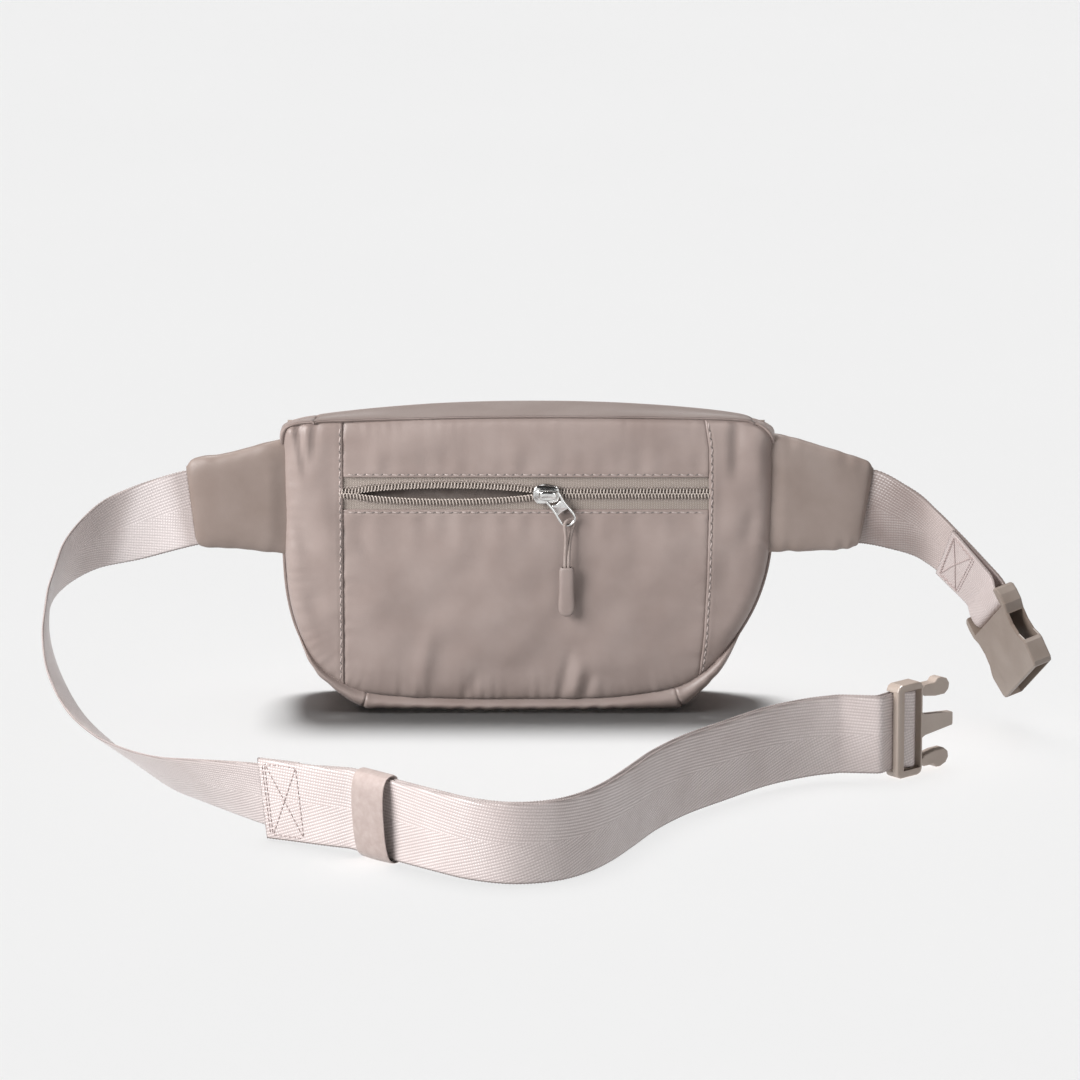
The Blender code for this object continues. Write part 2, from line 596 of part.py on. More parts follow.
def build_male_buckle(plastic):
    matrix = male_matrix()
    slot_low, slot_high, slot_half = MALE_SLOT
    bar_x, bar_y, bar_r = MALE_BAR
    depth = MALE_HALF_DEPTH
    height = MALE_HALF_HEIGHT
    rim = [(0, -height + 3), (0.9, -height + 0.9), (3, -height), (MALE_LENGTH - 3, -height),
           (MALE_LENGTH - 0.8, -height + 1), (MALE_LENGTH, -height + 3), (MALE_LENGTH, height - 3),
           (MALE_LENGTH - 0.8, height - 1), (MALE_LENGTH - 3, height), (3, height), (0.9, height - 0.9),
           (0, height - 3)]
    frame = slab("male_buckle_frame", rim, -depth, depth, plastic, bevel=0.9)
    slot = block("male_slot", (slot_low, -9, -slot_half), (slot_high, 9, slot_half), plastic)
    behind = block("male_slot_behind", (-2, -0.9, -slot_half), (slot_low + 1, 9, slot_half), plastic)
    bar = rod("male_bar", (bar_x, bar_y), bar_r, -slot_half - 1, slot_half + 1, plastic, sides=12)
    tongue = slab("male_tongue", [(15.9, -9), (18.5, -6.4), (21, -5.2), (39, -3.3), (39.6, -2.7), (39.6, 2.7),
                                  (39, 3.3), (21, 5.2), (18.5, 6.4), (15.9, 9)], -1.7, 1.7, plastic)
    for piece in (frame, slot, behind, bar, tongue):
        place(piece, matrix)
    for cutter in (slot, behind):
        combine(frame, cutter, "DIFFERENCE")
    for other in (bar, tongue):
        combine(frame, other, "UNION")
    for name, sign in (("male_arm_upper", 1), ("male_arm_lower", -1)):
        arm = slab(name, [(x, sign * z) for x, z in ARM_OUTLINE], -2.8, 2.8, plastic, bevel=0.6)
        place(arm, matrix)


def build_female_buckle(plastic):
    matrix = female_matrix()
    bar_x, bar_r = FEMALE_BAR
    width = FEMALE_HALF_WIDTH
    length = FEMALE_LENGTH
    depth = FEMALE_HALF_DEPTH
    half = [(0, 21.6), (1.6, 23.4), (5, 24), (10, 23.6), (14, 21.4), (20, 20.6), (26, 21.6), (30, 24),
            (32, width), (length - 2, 23.4), (length, 22)]
    rim = half + [(x, -z) for x, z in reversed(half)]
    body = slab("female_buckle", rim, -depth, depth, plastic, bevel=0.9)
    hollow = block("female_hollow", (12.0, -3.8, -20.8), (length + 2, 3.8, 20.8), plastic)
    windows = block("female_windows", (14.5, -3.8, -30), (30.0, 3.8, 30), plastic)
    bar_space = block("female_bar_space", (-2, -9, -19.8), (9.6, 9, 19.8), plastic)
    bar = rod("female_bar", (bar_x, 0), bar_r, -20.6, 20.6, plastic)
    for piece in (body, hollow, windows, bar_space, bar):
        place(piece, matrix)
    for cutter in (hollow, windows, bar_space):
        combine(body, cutter, "DIFFERENCE")
    combine(body, bar, "UNION")


def main():
    for obj in list(bpy.data.objects):
        bpy.data.objects.remove(obj, do_unlink=True)
    fabric = material("satin_nylon", (0.41, 0.33, 0.30), 0.5)
    lining = material("lining_cloth", (0.33, 0.27, 0.25), 0.7)
    foam = material("foam", (0.6, 0.57, 0.54), 0.9)
    tape = material("zip_tape", (0.32, 0.26, 0.23), 0.7)
    coil = material("zip_coil", (0.30, 0.25, 0.22), 0.4)
    webbing = material("webbing", (0.62, 0.54, 0.52), 0.45)
    keeper_cloth = material("keeper_ribbon", (0.5, 0.41, 0.38), 0.45)
    plastic = material("buckle_plastic", (0.30, 0.24, 0.20), 0.45)
    grip = material("grip_rubber", (0.36, 0.29, 0.26), 0.55)
    cord = material("pull_cord", (0.36, 0.28, 0.26), 0.7)
    metal = material("nickel", (0.72, 0.72, 0.71), 0.2, 1.0)

    outline, runs = seam_outline()
    build_panels(fabric, lining, outline)
    build_gusset(fabric, outline, runs)
    build_zip("back", BACK_ZIP_HEIGHT, BACK_ZIP_HALF_LENGTH, BACK_ZIP_OPEN, tape, coil)
    build_zip("main", MAIN_ZIP_HEIGHT, MAIN_ZIP_HALF_LENGTH, None, tape, coil, front=True)
    build_slider("back", BACK_SLIDER_X, BACK_ZIP_HEIGHT, metal, cord, grip)
    build_slider("main", MAIN_SLIDER_X, MAIN_ZIP_HEIGHT, metal, cord, grip, front=True)
    build_wing("left", LEFT_WING, LEFT_FOLD_X, fabric, foam)
    build_wing("right", RIGHT_WING, RIGHT_FOLD_X, fabric, foam)
    build_straps(webbing)
    build_right_strap(webbing)
    build_keeper(keeper_cloth)
    build_male_buckle(plastic)
    build_female_buckle(plastic)


main()
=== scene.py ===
"""Looks of the money belt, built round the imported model.

A small belt bag seen from the side worn against the body: satin nylon panels
with a flat zip pocket, two padded wings, a doubled webbing belt and a
side-release buckle.  Shapes are written in millimetres in the model's own
frame and become metres when a mesh is made.
"""

import math

import bmesh
import bpy
import numpy as np
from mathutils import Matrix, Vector


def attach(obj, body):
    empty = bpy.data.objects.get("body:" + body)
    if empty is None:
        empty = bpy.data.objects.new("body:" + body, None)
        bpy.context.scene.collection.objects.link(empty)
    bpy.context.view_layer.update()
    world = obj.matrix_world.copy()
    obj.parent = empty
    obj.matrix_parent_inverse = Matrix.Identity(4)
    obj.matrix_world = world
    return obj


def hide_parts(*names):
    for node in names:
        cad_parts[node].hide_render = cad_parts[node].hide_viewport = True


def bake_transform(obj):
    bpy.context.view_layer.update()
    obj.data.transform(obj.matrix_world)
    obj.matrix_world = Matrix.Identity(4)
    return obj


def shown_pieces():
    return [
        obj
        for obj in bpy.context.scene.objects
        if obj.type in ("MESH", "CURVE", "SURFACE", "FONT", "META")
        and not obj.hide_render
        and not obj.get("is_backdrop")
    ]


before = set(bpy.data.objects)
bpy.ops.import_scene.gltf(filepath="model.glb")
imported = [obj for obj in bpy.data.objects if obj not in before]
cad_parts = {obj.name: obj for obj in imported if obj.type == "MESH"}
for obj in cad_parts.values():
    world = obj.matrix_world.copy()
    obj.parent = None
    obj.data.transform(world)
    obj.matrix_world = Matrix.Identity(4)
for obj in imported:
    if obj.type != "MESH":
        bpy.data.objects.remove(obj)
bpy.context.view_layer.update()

MM = 0.001
X_AXIS, Y_AXIS, Z_AXIS = np.eye(3)

# Seam line between panels and gusset, as (x, z)
BOTTOM_RUN = [(-79, 9.6), (-60, 7.4), (-30, 6.3), (0, 6.3), (30, 6.5), (52, 8.2), (74, 12.2)]
RIGHT_RUN = [(74, 12.2), (87, 19.5), (99, 31.5), (109, 46), (116, 62), (120, 80),
             (121.5, 105), (121.5, 130), (119.5, 141), (112, 146.8)]
TOP_RUN = [(112, 146.8), (98, 148.6), (55, 149.5), (8, 149.8), (-40, 149.3), (-88, 147.9),
           (-104, 147.2)]
LEFT_RUN = [(-104, 147.2), (-114.4, 145.7), (-118.8, 140.6), (-119.3, 120), (-119, 100), (-119, 78),
            (-117, 57), (-112, 39), (-103.5, 24.5), (-92, 15), (-79, 9.6)]
FRONT_HEIGHT_RATIO = 0.987
SIDE_SEAM = 89.8
BACK_ZIP_HEIGHT = 111.8
MAIN_ZIP_HEIGHT = 124.0
ZIP_HALF_WINDOW = 7.9
ZIP_OPENING = 6.4
BACK_ZIP_OPEN = (-84.0, 6.0)
BACK_SLIDER_X = 9.9
MAIN_SLIDER_X = -92.0

# Belt
WEB_WIDTH = 38.1
WEB_THICKNESS = 1.3
WEB_STATION = 0.8
WEB_STITCH_PITCH = 2.5
LAYER_SPACING = 2.6
HEM_LAYER_SPACING = 1.25
HEM_STATIONS = 27
TAIL_LEAN = 0.12
# Long strap from the left wing to where its tail begins: x, y, z and roll in degrees
LEFT_ROUTE = [
    (-153, -15, 103.6, 0), (-164.8, -15.4, 103, 2), (-189, -22.7, 97.7, -4),
    (-212, -32, 91, -21), (-228, -49, 80, -23), (-232.7, -69, 64.7, -5),
    (-230, -89.6, 48.6, 19), (-222.4, -110, 34, 38), (-210, -130, 23.3, 51),
    (-194.8, -150, 16.5, 54), (-178.8, -170, 13.2, 49), (-162, -190, 13.5, 45),
    (-144.6, -209, 15.4, 36), (-126, -227, 17.1, 26), (-106.8, -242.5, 18.4, 18),
    (-92, -252.5, 19.8, 9)]
# Middle between the two layers, from there to the male buckle
DOUBLE_ROUTE = [
    (-80, -264, 20.8), (-62, -280.7, 20.8), (-40, -301, 20.8), (-24, -312, 20.2),
    (-6, -316.5, 19.6), (12, -312, 19.4), (26, -300, 19.4), (38, -281, 19.5),
    (49, -256, 19.6), (60, -230, 19.8), (75, -205, 20.2), (94, -183, 20.9),
    (114, -162, 21.8), (134, -149, 22.6), (150, -143.6, 23.1)]
# The tail's hemmed end, beside the long strap
TAIL_END_ROUTE = [(-122, -244.5, 20.1), (-106, -252, 20.2), (-92.5, -259, 20.4)]
# Short strap from the right wing to the female buckle, with its roll
RIGHT_ROUTE = [
    (153, -15, 104.6, 0), (167.3, -15.2, 103.8, -1), (179.6, -17.8, 100.2, 13),
    (191.1, -21.4, 95.6, 21), (200.9, -27, 89.3, 25), (209.6, -33.2, 81.9, 25),
    (215.4, -37.9, 75.9, 23)]
HEM_START = 4
KEEPER_PLACE = (-67, -276.0)
KEEPER_WIDTH = 20.0
MALE_PLACE = (175.2, -141.6, 23.4)
MALE_YAW = 42.0
MALE_BAR = (11.5, 1.2, 1.5)     # its place along and across the buckle, and its radius
MALE_NODES = ("male_buckle_frame", "male_arm_upper", "male_arm_lower")
FEMALE_PLACE = (226.7, -45.0, 63.3)
FEMALE_LENGTH_AXIS = (0.434, -0.435, -0.789)
FEMALE_BAR_AXIS = (0.262, -0.776, 0.573)
FEMALE_BAR = (3.0, 2.0)         # its place along the buckle, and its radius


# ---------------------------------------------------------------- geometry

def unit(v):
    return v / np.linalg.norm(v, axis=-1, keepdims=True)


def spline(points, steps, closed=False):
    """Points on a Catmull-Rom curve through the given points."""
    p = np.array(points, float)
    if closed:
        p = np.vstack([p[-1], p, p[0], p[1]])
    else:
        p = np.vstack([2 * p[0] - p[1], p, 2 * p[-1] - p[-2]])
    t = (np.arange(steps) / steps)[:, None]
    out = []
    for p0, p1, p2, p3 in zip(p, p[1:], p[2:], p[3:]):
        out.append(0.5 * (2 * p1 + (p2 - p0) * t + (2 * p0 - 5 * p1 + 4 * p2 - p3) * t ** 2
                          + (3 * p1 - p0 - 3 * p2 + p3) * t ** 3))
    out = np.vstack(out)
    return out if closed else np.vstack([out, p[-2]])


def lengths(points):
    """Distance along a line to each of its points."""
    return np.concatenate([[0], np.cumsum(np.linalg.norm(np.diff(points[:, :3], axis=0), axis=1))])


def at(points, where):
    """Values on a line at the given distances along it."""
    s = lengths(points)
    return np.stack([np.interp(where, s, column) for column in points.T], axis=-1)


def evenly(points, spacing):
    """The same line with its points at about this spacing."""
    total = lengths(points)[-1]
    return at(points, np.linspace(0, total, max(2, round(total / spacing) + 1)))


def smooth(values, passes):
    """Values along a line, each averaged with its neighbours; the ends stay."""
    for _ in range(passes):
        inner = (values[:-2] + 2 * values[1:-1] + values[2:]) / 4
        values = np.concatenate([values[:1], inner, values[-1:]])
    return values


def ramp(low, high, x):
    """0 before low, 1 past high and a smooth rise between them."""
    t = np.clip((x - low) / (high - low), 0, 1)
    return t * t * (3 - 2 * t)


def bump(x, width):
    return np.exp(-(x / width) ** 2)


def waves(x, y, seed, size):
    """Soft irregular waves of about unit height, the same each run."""
    rng = np.random.default_rng(seed)
    count = 7
    total = np.zeros(np.broadcast(x, y).shape)
    for _ in range(count):
        angle = rng.uniform(0, 2 * math.pi)
        length = size * rng.uniform(0.7, 1.8)
        total += np.sin(2 * math.pi * (x * math.cos(angle) + y * math.sin(angle)) / length
                        + rng.uniform(0, 2 * math.pi))
    return total / math.sqrt(count)


def new_object(name, data):
    obj = bpy.data.objects.new(name, data)
    bpy.context.scene.collection.objects.link(obj)
    return obj


def piece(name, vertices, faces, material, body, replaced=(), slot=None, cloth=None):
    """A mesh piece from millimetre vertices, riding on a body of the frame.

    A body of four values (two bodies, and where a blend between them would start and end) is not attached:
    the piece keeps its place and gets no parent.
    """
    mesh = bpy.data.meshes.new(name)
    mesh.from_pydata((np.asarray(vertices, float) * MM).tolist(), [], [tuple(f) for f in faces])
    mesh.shade_smooth()
    if cloth is not None:
        attribute = mesh.attributes.new("cloth", "FLOAT_VECTOR", "POINT")
        attribute.data.foreach_set("vector", np.asarray(cloth, np.float32).ravel())
    obj = new_object(name, mesh)
    mesh.materials.append(material)
    if isinstance(body, str):
        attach(obj, body)
    else:
        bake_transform(obj)
    if replaced:
        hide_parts(*replaced)
    return obj


def quads(rows, columns, wrap=False):
    """Faces of a grid of points, joined round its rows if wrap."""
    i, j = np.meshgrid(np.arange(rows - 1), np.arange(columns if wrap else columns - 1), indexing="ij")
    a = i * columns + j
    b = i * columns + (j + 1) % columns
    return np.stack([a, b, b + columns, a + columns], axis=-1).reshape(-1, 4)


def capped(rows, columns):
    """Faces of a tube made of rings, closed at both ends."""
    last = rows * columns
    ends = [tuple(range(columns)), tuple(range(last - 1, last - columns - 1, -1))]
    return quads(rows, columns, wrap=True).tolist() + ends


def normals(grid):
    """Unit normals of a grid of points."""
    du = np.gradient(grid, axis=1)
    dv = np.gradient(grid, axis=0)
    n = np.cross(du, dv)
    return n / np.maximum(np.linalg.norm(n, axis=-1, keepdims=True), 1e-9)


def cloth_solid(grid, thickness, inward):
    """Vertices and faces of a sheet given thickness on the side away from inward."""
    rows, columns = grid.shape[:2]
    n = normals(grid)
    if (n * inward).sum() > 0:
        n = -n
    under = grid - n * thickness
    count = rows * columns
    vertices = np.vstack([grid.reshape(-1, 3), under.reshape(-1, 3)])
    top = quads(rows, columns)
    edge = np.concatenate([np.arange(columns), np.arange(1, rows) * columns + columns - 1,
                           (rows - 1) * columns + np.arange(columns - 2, -1, -1),
                           np.arange(rows - 2, 0, -1) * columns])
    ahead = np.roll(edge, -1)
    rim = np.stack([ahead, edge, edge + count, ahead + count], axis=-1)
    faces = np.vstack([top, top[:, ::-1] + count, rim])
    middle = top[len(top) // 2]
    facing = np.cross(vertices[middle[1]] - vertices[middle[0]], vertices[middle[2]] - vertices[middle[0]])
    if facing @ n.reshape(-1, 3)[middle[0]] < 0:
        faces = faces[:, ::-1]
    return vertices, faces


def sheet_piece(name, grid, thickness, inward, material, body, cloth, **options):
    """A sheet of cloth with its own coordinates on both faces."""
    vertices, faces = cloth_solid(grid, thickness, inward)
    flat = np.zeros((grid.shape[0] * grid.shape[1], 3))
    flat[:, :2] = cloth.reshape(-1, 2)
    return piece(name, vertices, faces, material, body, cloth=np.vstack([flat, flat]), **options)


def tube(points, radius, sides, up=Z_AXIS):
    """Vertices and faces of a closed round tube whose radius may vary."""
    points = np.asarray(points, float)
    ahead = unit(np.gradient(points, axis=0))
    side = np.cross(ahead, up)
    weak = np.linalg.norm(side, axis=1) < 1e-6
    side[weak] = X_AXIS
    side = unit(side)
    over = np.cross(side, ahead)
    radius = np.broadcast_to(radius, (len(points),))[:, None, None]
    turn = np.linspace(0, 2 * math.pi, sides, endpoint=False)[None, :, None]
    rings = points[:, None] + radius * (np.cos(turn) * side[:, None] + np.sin(turn) * over[:, None])
    return rings.reshape(-1, 3), capped(len(points), sides)


def outward_of(loop):
    """Directions out of a closed flat loop, at each of its points."""
    ahead = unit(np.roll(loop, -1, 0) - np.roll(loop, 1, 0))
    out = np.stack([ahead[:, 1], -ahead[:, 0]], -1)
    return out if (out * (loop - loop.mean(0))).sum() > 0 else -out


def gather(parts):
    """Many (vertices, faces) as one."""
    vertices = []
    faces = []
    count = 0
    for some, theirs in parts:
        vertices.append(some)
        faces += [tuple(int(k) + count for k in face) for face in theirs]
        count += len(some)
    return np.vstack(vertices), faces


def stitches(line, outward, length, radius, pitch=4.3, lean=0.0, shift=0.0, sink=0.0):
    """Thread of a row of lockstitches along a line, each dipping at its ends."""
    total = lengths(line)[-1]
    count = max(1, int(total / pitch))
    start = (total - count * pitch) / 2 + shift * pitch
    count -= shift > 0
    out = np.asarray(outward, float)
    parts = []
    for i in range(count):
        share = np.linspace(0, 1, 7)
        spots = at(line, start + i * pitch + (pitch - length) / 2 + share * length)
        side = np.cross(unit(spots[-1] - spots[0]), out)
        lift = 0.16 - sink - 0.62 * np.abs(2 * share - 1) ** 4
        spots = spots + out * lift[:, None] + side * ((share - 0.5) * lean)[:, None]
        parts.append(tube(spots, radius * (1 - 0.35 * np.abs(2 * share - 1) ** 3), 6, up=out))
    return gather(parts)


# --------------------------------------------------------------- materials

class Nodes:
    """A short way to write a material's node tree."""

    def __init__(self, name, color, roughness, **sockets):
        self.base = color
        self.material = bpy.data.materials.new(name)
        self.material.use_nodes = True
        self.tree = self.material.node_tree
        self.shader = self.tree.nodes["Principled BSDF"]
        self.shader.inputs["Base Color"].default_value = (*color, 1.0)
        self.shader.inputs["Roughness"].default_value = roughness
        for key, value in sockets.items():
            self.shader.inputs[key.replace("_", " ")].default_value = value

    def new(self, kind, **settings):
        node = self.tree.nodes.new(kind)
        for key, value in settings.items():
            setattr(node, key, value)
        return node

    def join(self, source, target):
        self.tree.links.new(source, target)

    def math(self, operation, a, b=None):
        node = self.new("ShaderNodeMath", operation=operation)
        for socket, value in zip(node.inputs, (a, b)):
            if hasattr(value, "links"):
                self.join(value, socket)
            elif value is not None:
                socket.default_value = value
        return node.outputs[0]

    def cloth(self):
        """The cloth's own coordinates in millimetres: across, along, zone."""
        node = self.new("ShaderNodeAttribute", attribute_name="cloth")
        split = self.new("ShaderNodeSeparateXYZ")
        self.join(node.outputs["Vector"], split.inputs[0])
        return split.outputs[0], split.outputs[1], split.outputs[2], node.outputs["Vector"]

    def place(self):
        return self.new("ShaderNodeTexCoord").outputs["Object"]

    def noise(self, vector, scale, detail, rough):
        node = self.new("ShaderNodeTexNoise")
        self.join(vector, node.inputs["Vector"])
        node.inputs["Scale"].default_value = scale
        node.inputs["Detail"].default_value = detail
        node.inputs["Roughness"].default_value = rough
        return node.outputs["Fac"]

    def wave(self, value, pitch):
        """A sine of the value with this pitch, from 0 to 1."""
        turned = self.math("SINE", self.math("MULTIPLY", value, 2 * math.pi / pitch))
        return self.math("ADD", self.math("MULTIPLY", turned, 0.5), 0.5)

    def blend(self, factor, first, second):
        node = self.new("ShaderNodeMix", data_type="RGBA")
        self.join(factor, node.inputs[0])
        for socket, value in ((node.inputs[6], first), (node.inputs[7], second)):
            if hasattr(value, "links"):
                self.join(value, socket)
            else:
                socket.default_value = (*value, 1.0)
        return node.outputs[2]

    def spread(self, factor, low, high, out_low=0.0, out_high=1.0):
        node = self.new("ShaderNodeMapRange", clamp=True)
        self.join(factor, node.inputs[0])
        for socket, value in zip(node.inputs[1:5], (low, high, out_low, out_high)):
            socket.default_value = value
        return node.outputs[0]

    def tones(self, factor, dark, pale, tint, low=0.3, high=0.7):
        """The base colour, from darkened by one share to tinted by another."""
        return self.blend(self.spread(factor, low, high), mixed(self.base, dark),
                          mixed(self.base, pale, tint))

    def color(self, output):
        self.join(output, self.shader.inputs["Base Color"])

    def rough(self, output):
        self.join(output, self.shader.inputs["Roughness"])

    def relief(self, height, distance, strength):
        """Bump of the given depth in metres; several calls stack up."""
        node = self.new("ShaderNodeBump")
        node.inputs["Strength"].default_value = strength
        node.inputs["Distance"].default_value = distance
        self.join(height, node.inputs["Height"])
        socket = self.shader.inputs["Normal"]
        if socket.links:
            self.join(socket.links[0].from_socket, node.inputs["Normal"])
        self.join(node.outputs[0], socket)


def mixed(color, share, other=(0.0, 0.0, 0.0)):
    """A colour with a share of another in it."""
    return tuple(a * (1 - share) + b * share for a, b in zip(color, other))


def satin_cloth(name, color, roughness):
    """Fine satin nylon: a close weave, soft blotches and a silky sheen."""
    pitch = 0.34
    n = Nodes(name, color, roughness, Sheen_Weight=0.25, Sheen_Roughness=0.35,
              Specular_IOR_Level=0.42, Anisotropic=0.25)
    n.shader.inputs["Sheen Tint"].default_value = (*mixed(color, 0.6, (1, 0.96, 0.94)), 1.0)
    across, along, _, vector = n.cloth()
    weave = n.math("MULTIPLY", n.wave(along, pitch), n.wave(across, pitch * 1.25))
    blotch = n.noise(n.place(), 38.0, 3.0, 0.55)
    slub = n.noise(vector, 1.9, 2.0, 0.5)
    tone = n.tones(blotch, 0.07, 0.05, (1, 0.95, 0.93))
    tone = n.blend(n.spread(slub, 0.25, 0.75, 0.0, 0.22), tone, mixed(color, 0.16))
    n.color(n.blend(n.spread(weave, 0.0, 1.0, 0.12, 0.0), tone, mixed(color, 0.5)))
    n.rough(n.spread(slub, 0.3, 0.7, roughness - 0.05, roughness + 0.06))
    n.relief(weave, 0.00003, 0.5)
    n.relief(slub, 0.00012, 0.25)
    return n.material


def web_cloth(name, color, roughness=0.3, painted_highlight=None):
    """Chevron twill webbing: ribs that turn over at the middle, shiny yarns.

    Where the cloth zone is 1 the colour turns to a painted highlight tone, and where it is -1 to painted
    shade; the selvedges get painted shade too.
    """
    pitch = 1.5
    gap_tone = (0.1, 0.06, 0.05)
    # Tone of the painted shade, on dull zones and on the selvedges
    painted_shade_tone = (0.1, 0.07, 0.06)
    n = Nodes(name, color, roughness, Sheen_Weight=0.2, Sheen_Roughness=0.3,
              Specular_IOR_Level=1.0, Anisotropic=0.35)
    n.shader.inputs["Sheen Tint"].default_value = (1.0, 0.95, 0.94, 1.0)
    across, along, painted_light_zone, vector = n.cloth()
    folded = n.math("ABSOLUTE", across)
    steep = n.wave(n.math("ADD", folded, n.math("MULTIPLY", along, 0.36)), pitch)
    shallow = n.wave(n.math("ADD", folded, n.math("MULTIPLY", along, 0.07)), pitch)
    upper = n.spread(across, -0.25, 0.25)
    rib = n.math("ADD", n.math("MULTIPLY", shallow, upper),
                 n.math("MULTIPLY", steep, n.math("SUBTRACT", 1.0, upper)))
    picks = n.wave(n.math("SUBTRACT", along, n.math("MULTIPLY", folded, 0.27)), 1.35)
    yarn = n.math("MULTIPLY", rib, n.math("ADD", n.math("MULTIPLY", picks, 0.65), 0.35))
    blotch = n.noise(n.place(), 55.0, 3.0, 0.5)
    fibre = n.noise(vector, 1.4, 3.0, 0.65)
    tone = n.tones(blotch, 0.05, 0.12, (1, 0.97, 0.96))
    between = n.spread(yarn, 0.0, 0.6, 0.62, 0.0)
    woven = n.blend(between, tone, mixed(color, 0.55, gap_tone))
    # Painted highlight where the zone is 1, painted shade where it is -1
    if painted_highlight:
        highlight_woven = n.blend(between, painted_highlight, mixed(painted_highlight, 0.5, gap_tone))
        woven = n.blend(n.spread(painted_light_zone, 0.0, 1.0), woven, highlight_woven)
        woven = n.blend(n.spread(painted_light_zone, -1.0, 0.0, 1.0, 0.0), woven, mixed(color, 0.5, painted_shade_tone))
    # The selvedges are darkened as painted shade, dimming their lit edges
    selvedge = n.spread(folded, 18.0, 18.7)
    n.color(n.blend(selvedge, woven, mixed(color, 0.68, painted_shade_tone)))
    n.rough(n.math("ADD", n.spread(fibre, 0.25, 0.75, roughness - 0.06, roughness + 0.12),
                   n.math("MULTIPLY", selvedge, 0.35)))
    n.relief(yarn, 0.0002, 0.9)
    n.relief(fibre, 0.0001, 0.2)
    return n.material


def tape_cloth(name, color):
    """Zip tape: knitted herringbone, matt."""
    n = Nodes(name, color, 0.75, Sheen_Weight=0.2, Sheen_Roughness=0.5, Specular_IOR_Level=0.3)
    across, along, _, vector = n.cloth()
    rows = n.wave(n.math("ADD", across, n.math("PINGPONG", along, 1.1)), 0.9)
    knit = n.math("MULTIPLY", rows, n.wave(along, 0.8))
    fuzz = n.noise(vector, 1.6, 3.0, 0.7)
    tone = n.tones(knit, 0.4, 0.22, (1, 0.95, 0.9), low=0.0)
    n.color(n.blend(n.spread(fuzz, 0.3, 0.7, 0.0, 0.35), tone, mixed(color, 0.35)))
    n.relief(knit, 0.0002, 0.9)
    n.relief(fuzz, 0.00008, 0.4)
    return n.material


def plain_knit(name, color, roughness, pitch, depth):
    """A simple close weave for lining, keeper ribbon and cord."""
    n = Nodes(name, color, roughness, Sheen_Weight=0.2, Sheen_Roughness=0.45, Specular_IOR_Level=0.35)
    across, along, _, vector = n.cloth()
    weave = n.math("MULTIPLY", n.wave(across, pitch), n.wave(along, pitch))
    blotch = n.noise(vector, 0.22, 3.0, 0.6)
    tone = n.tones(blotch, 0.1, 0.08, (1, 0.96, 0.93))
    n.color(n.blend(n.spread(weave, 0.0, 0.8, 0.35, 0.0), tone, mixed(color, 0.5)))
    n.relief(weave, depth, 0.8)
    return n.material


def thread(name, color):
    """Twisted sewing thread."""
    n = Nodes(name, color, 0.5, Sheen_Weight=0.3, Sheen_Roughness=0.4)
    twist = n.noise(n.place(), 2600.0, 2.0, 0.6)
    n.color(n.tones(twist, 0.22, 0.1, (1, 1, 1), 0.35, 0.65))
    n.relief(twist, 0.00006, 0.6)
    return n.material


def moulded(name, color, roughness, edge_highlight, coat=0.0):
    """Moulded acetal or rubber: faint flow marks, fine texture, and a painted highlight on sharp edges."""
    n = Nodes(name, color, roughness, Specular_IOR_Level=0.5, Coat_Weight=coat, Coat_Roughness=0.25)
    place = n.place()
    flow = n.noise(place, 60.0, 4.0, 0.55)
    grain = n.noise(place, 4200.0, 2.0, 0.5)
    edge = n.new("ShaderNodeNewGeometry").outputs["Pointiness"]
    tone = n.tones(flow, 0.06, 0.05, (1, 0.97, 0.94))
    # Sharp (pointy) edges are paled as a painted highlight
    n.color(n.blend(n.spread(edge, 0.51, 0.58, 0.0, edge_highlight), tone, mixed(color, 0.6, (1, 0.97, 0.93))))
    n.rough(n.spread(flow, 0.25, 0.75, roughness - 0.05, roughness + 0.08))
    n.relief(grain, 0.00003, 0.5)
    n.relief(flow, 0.00008, 0.15)
    return n.material


def plated(name):
    """Bright nickel plate with hairline scratches and a few dull marks."""
    n = Nodes(name, (0.80, 0.80, 0.79), 0.14, Metallic=1.0)
    place = n.place()
    marks = n.noise(place, 900.0, 4.0, 0.6)
    haze = n.noise(place, 240.0, 3.0, 0.5)
    n.rough(n.spread(haze, 0.3, 0.75, 0.1, 0.24))
    n.color(n.blend(n.spread(haze, 0.3, 0.7), (0.82, 0.82, 0.81), (0.70, 0.70, 0.69)))
    n.relief(marks, 0.00002, 0.35)
    return n.material


def coil_nylon(name, color):
    """Nylon wire of the zip coils."""
    n = Nodes(name, color, 0.38, Specular_IOR_Level=0.55)
    tint = n.noise(n.place(), 300.0, 3.0, 0.6)
    n.color(n.tones(tint, 0.12, 0.12, (1, 0.97, 0.93)))
    n.relief(tint, 0.00005, 0.3)
    return n.material


def floor_paint(name):
    """Matt off-white studio floor."""
    shade = (0.86, 0.86, 0.86)
    n = Nodes(name, shade, 0.9, Specular_IOR_Level=0.15)
    soft = n.noise(n.place(), 3.0, 2.0, 0.5)
    n.color(n.blend(n.spread(soft, 0.2, 0.8), shade, (0.87, 0.87, 0.87)))
    return n.material


SATIN = satin_cloth("satin_nylon", (0.283, 0.22, 0.199), 0.4)
# Darker copy of the satin: painted shade on the top gusset
SHADED_TOP_SATIN = satin_cloth("painted_shade_top_satin", (0.225, 0.172, 0.154), 0.42)
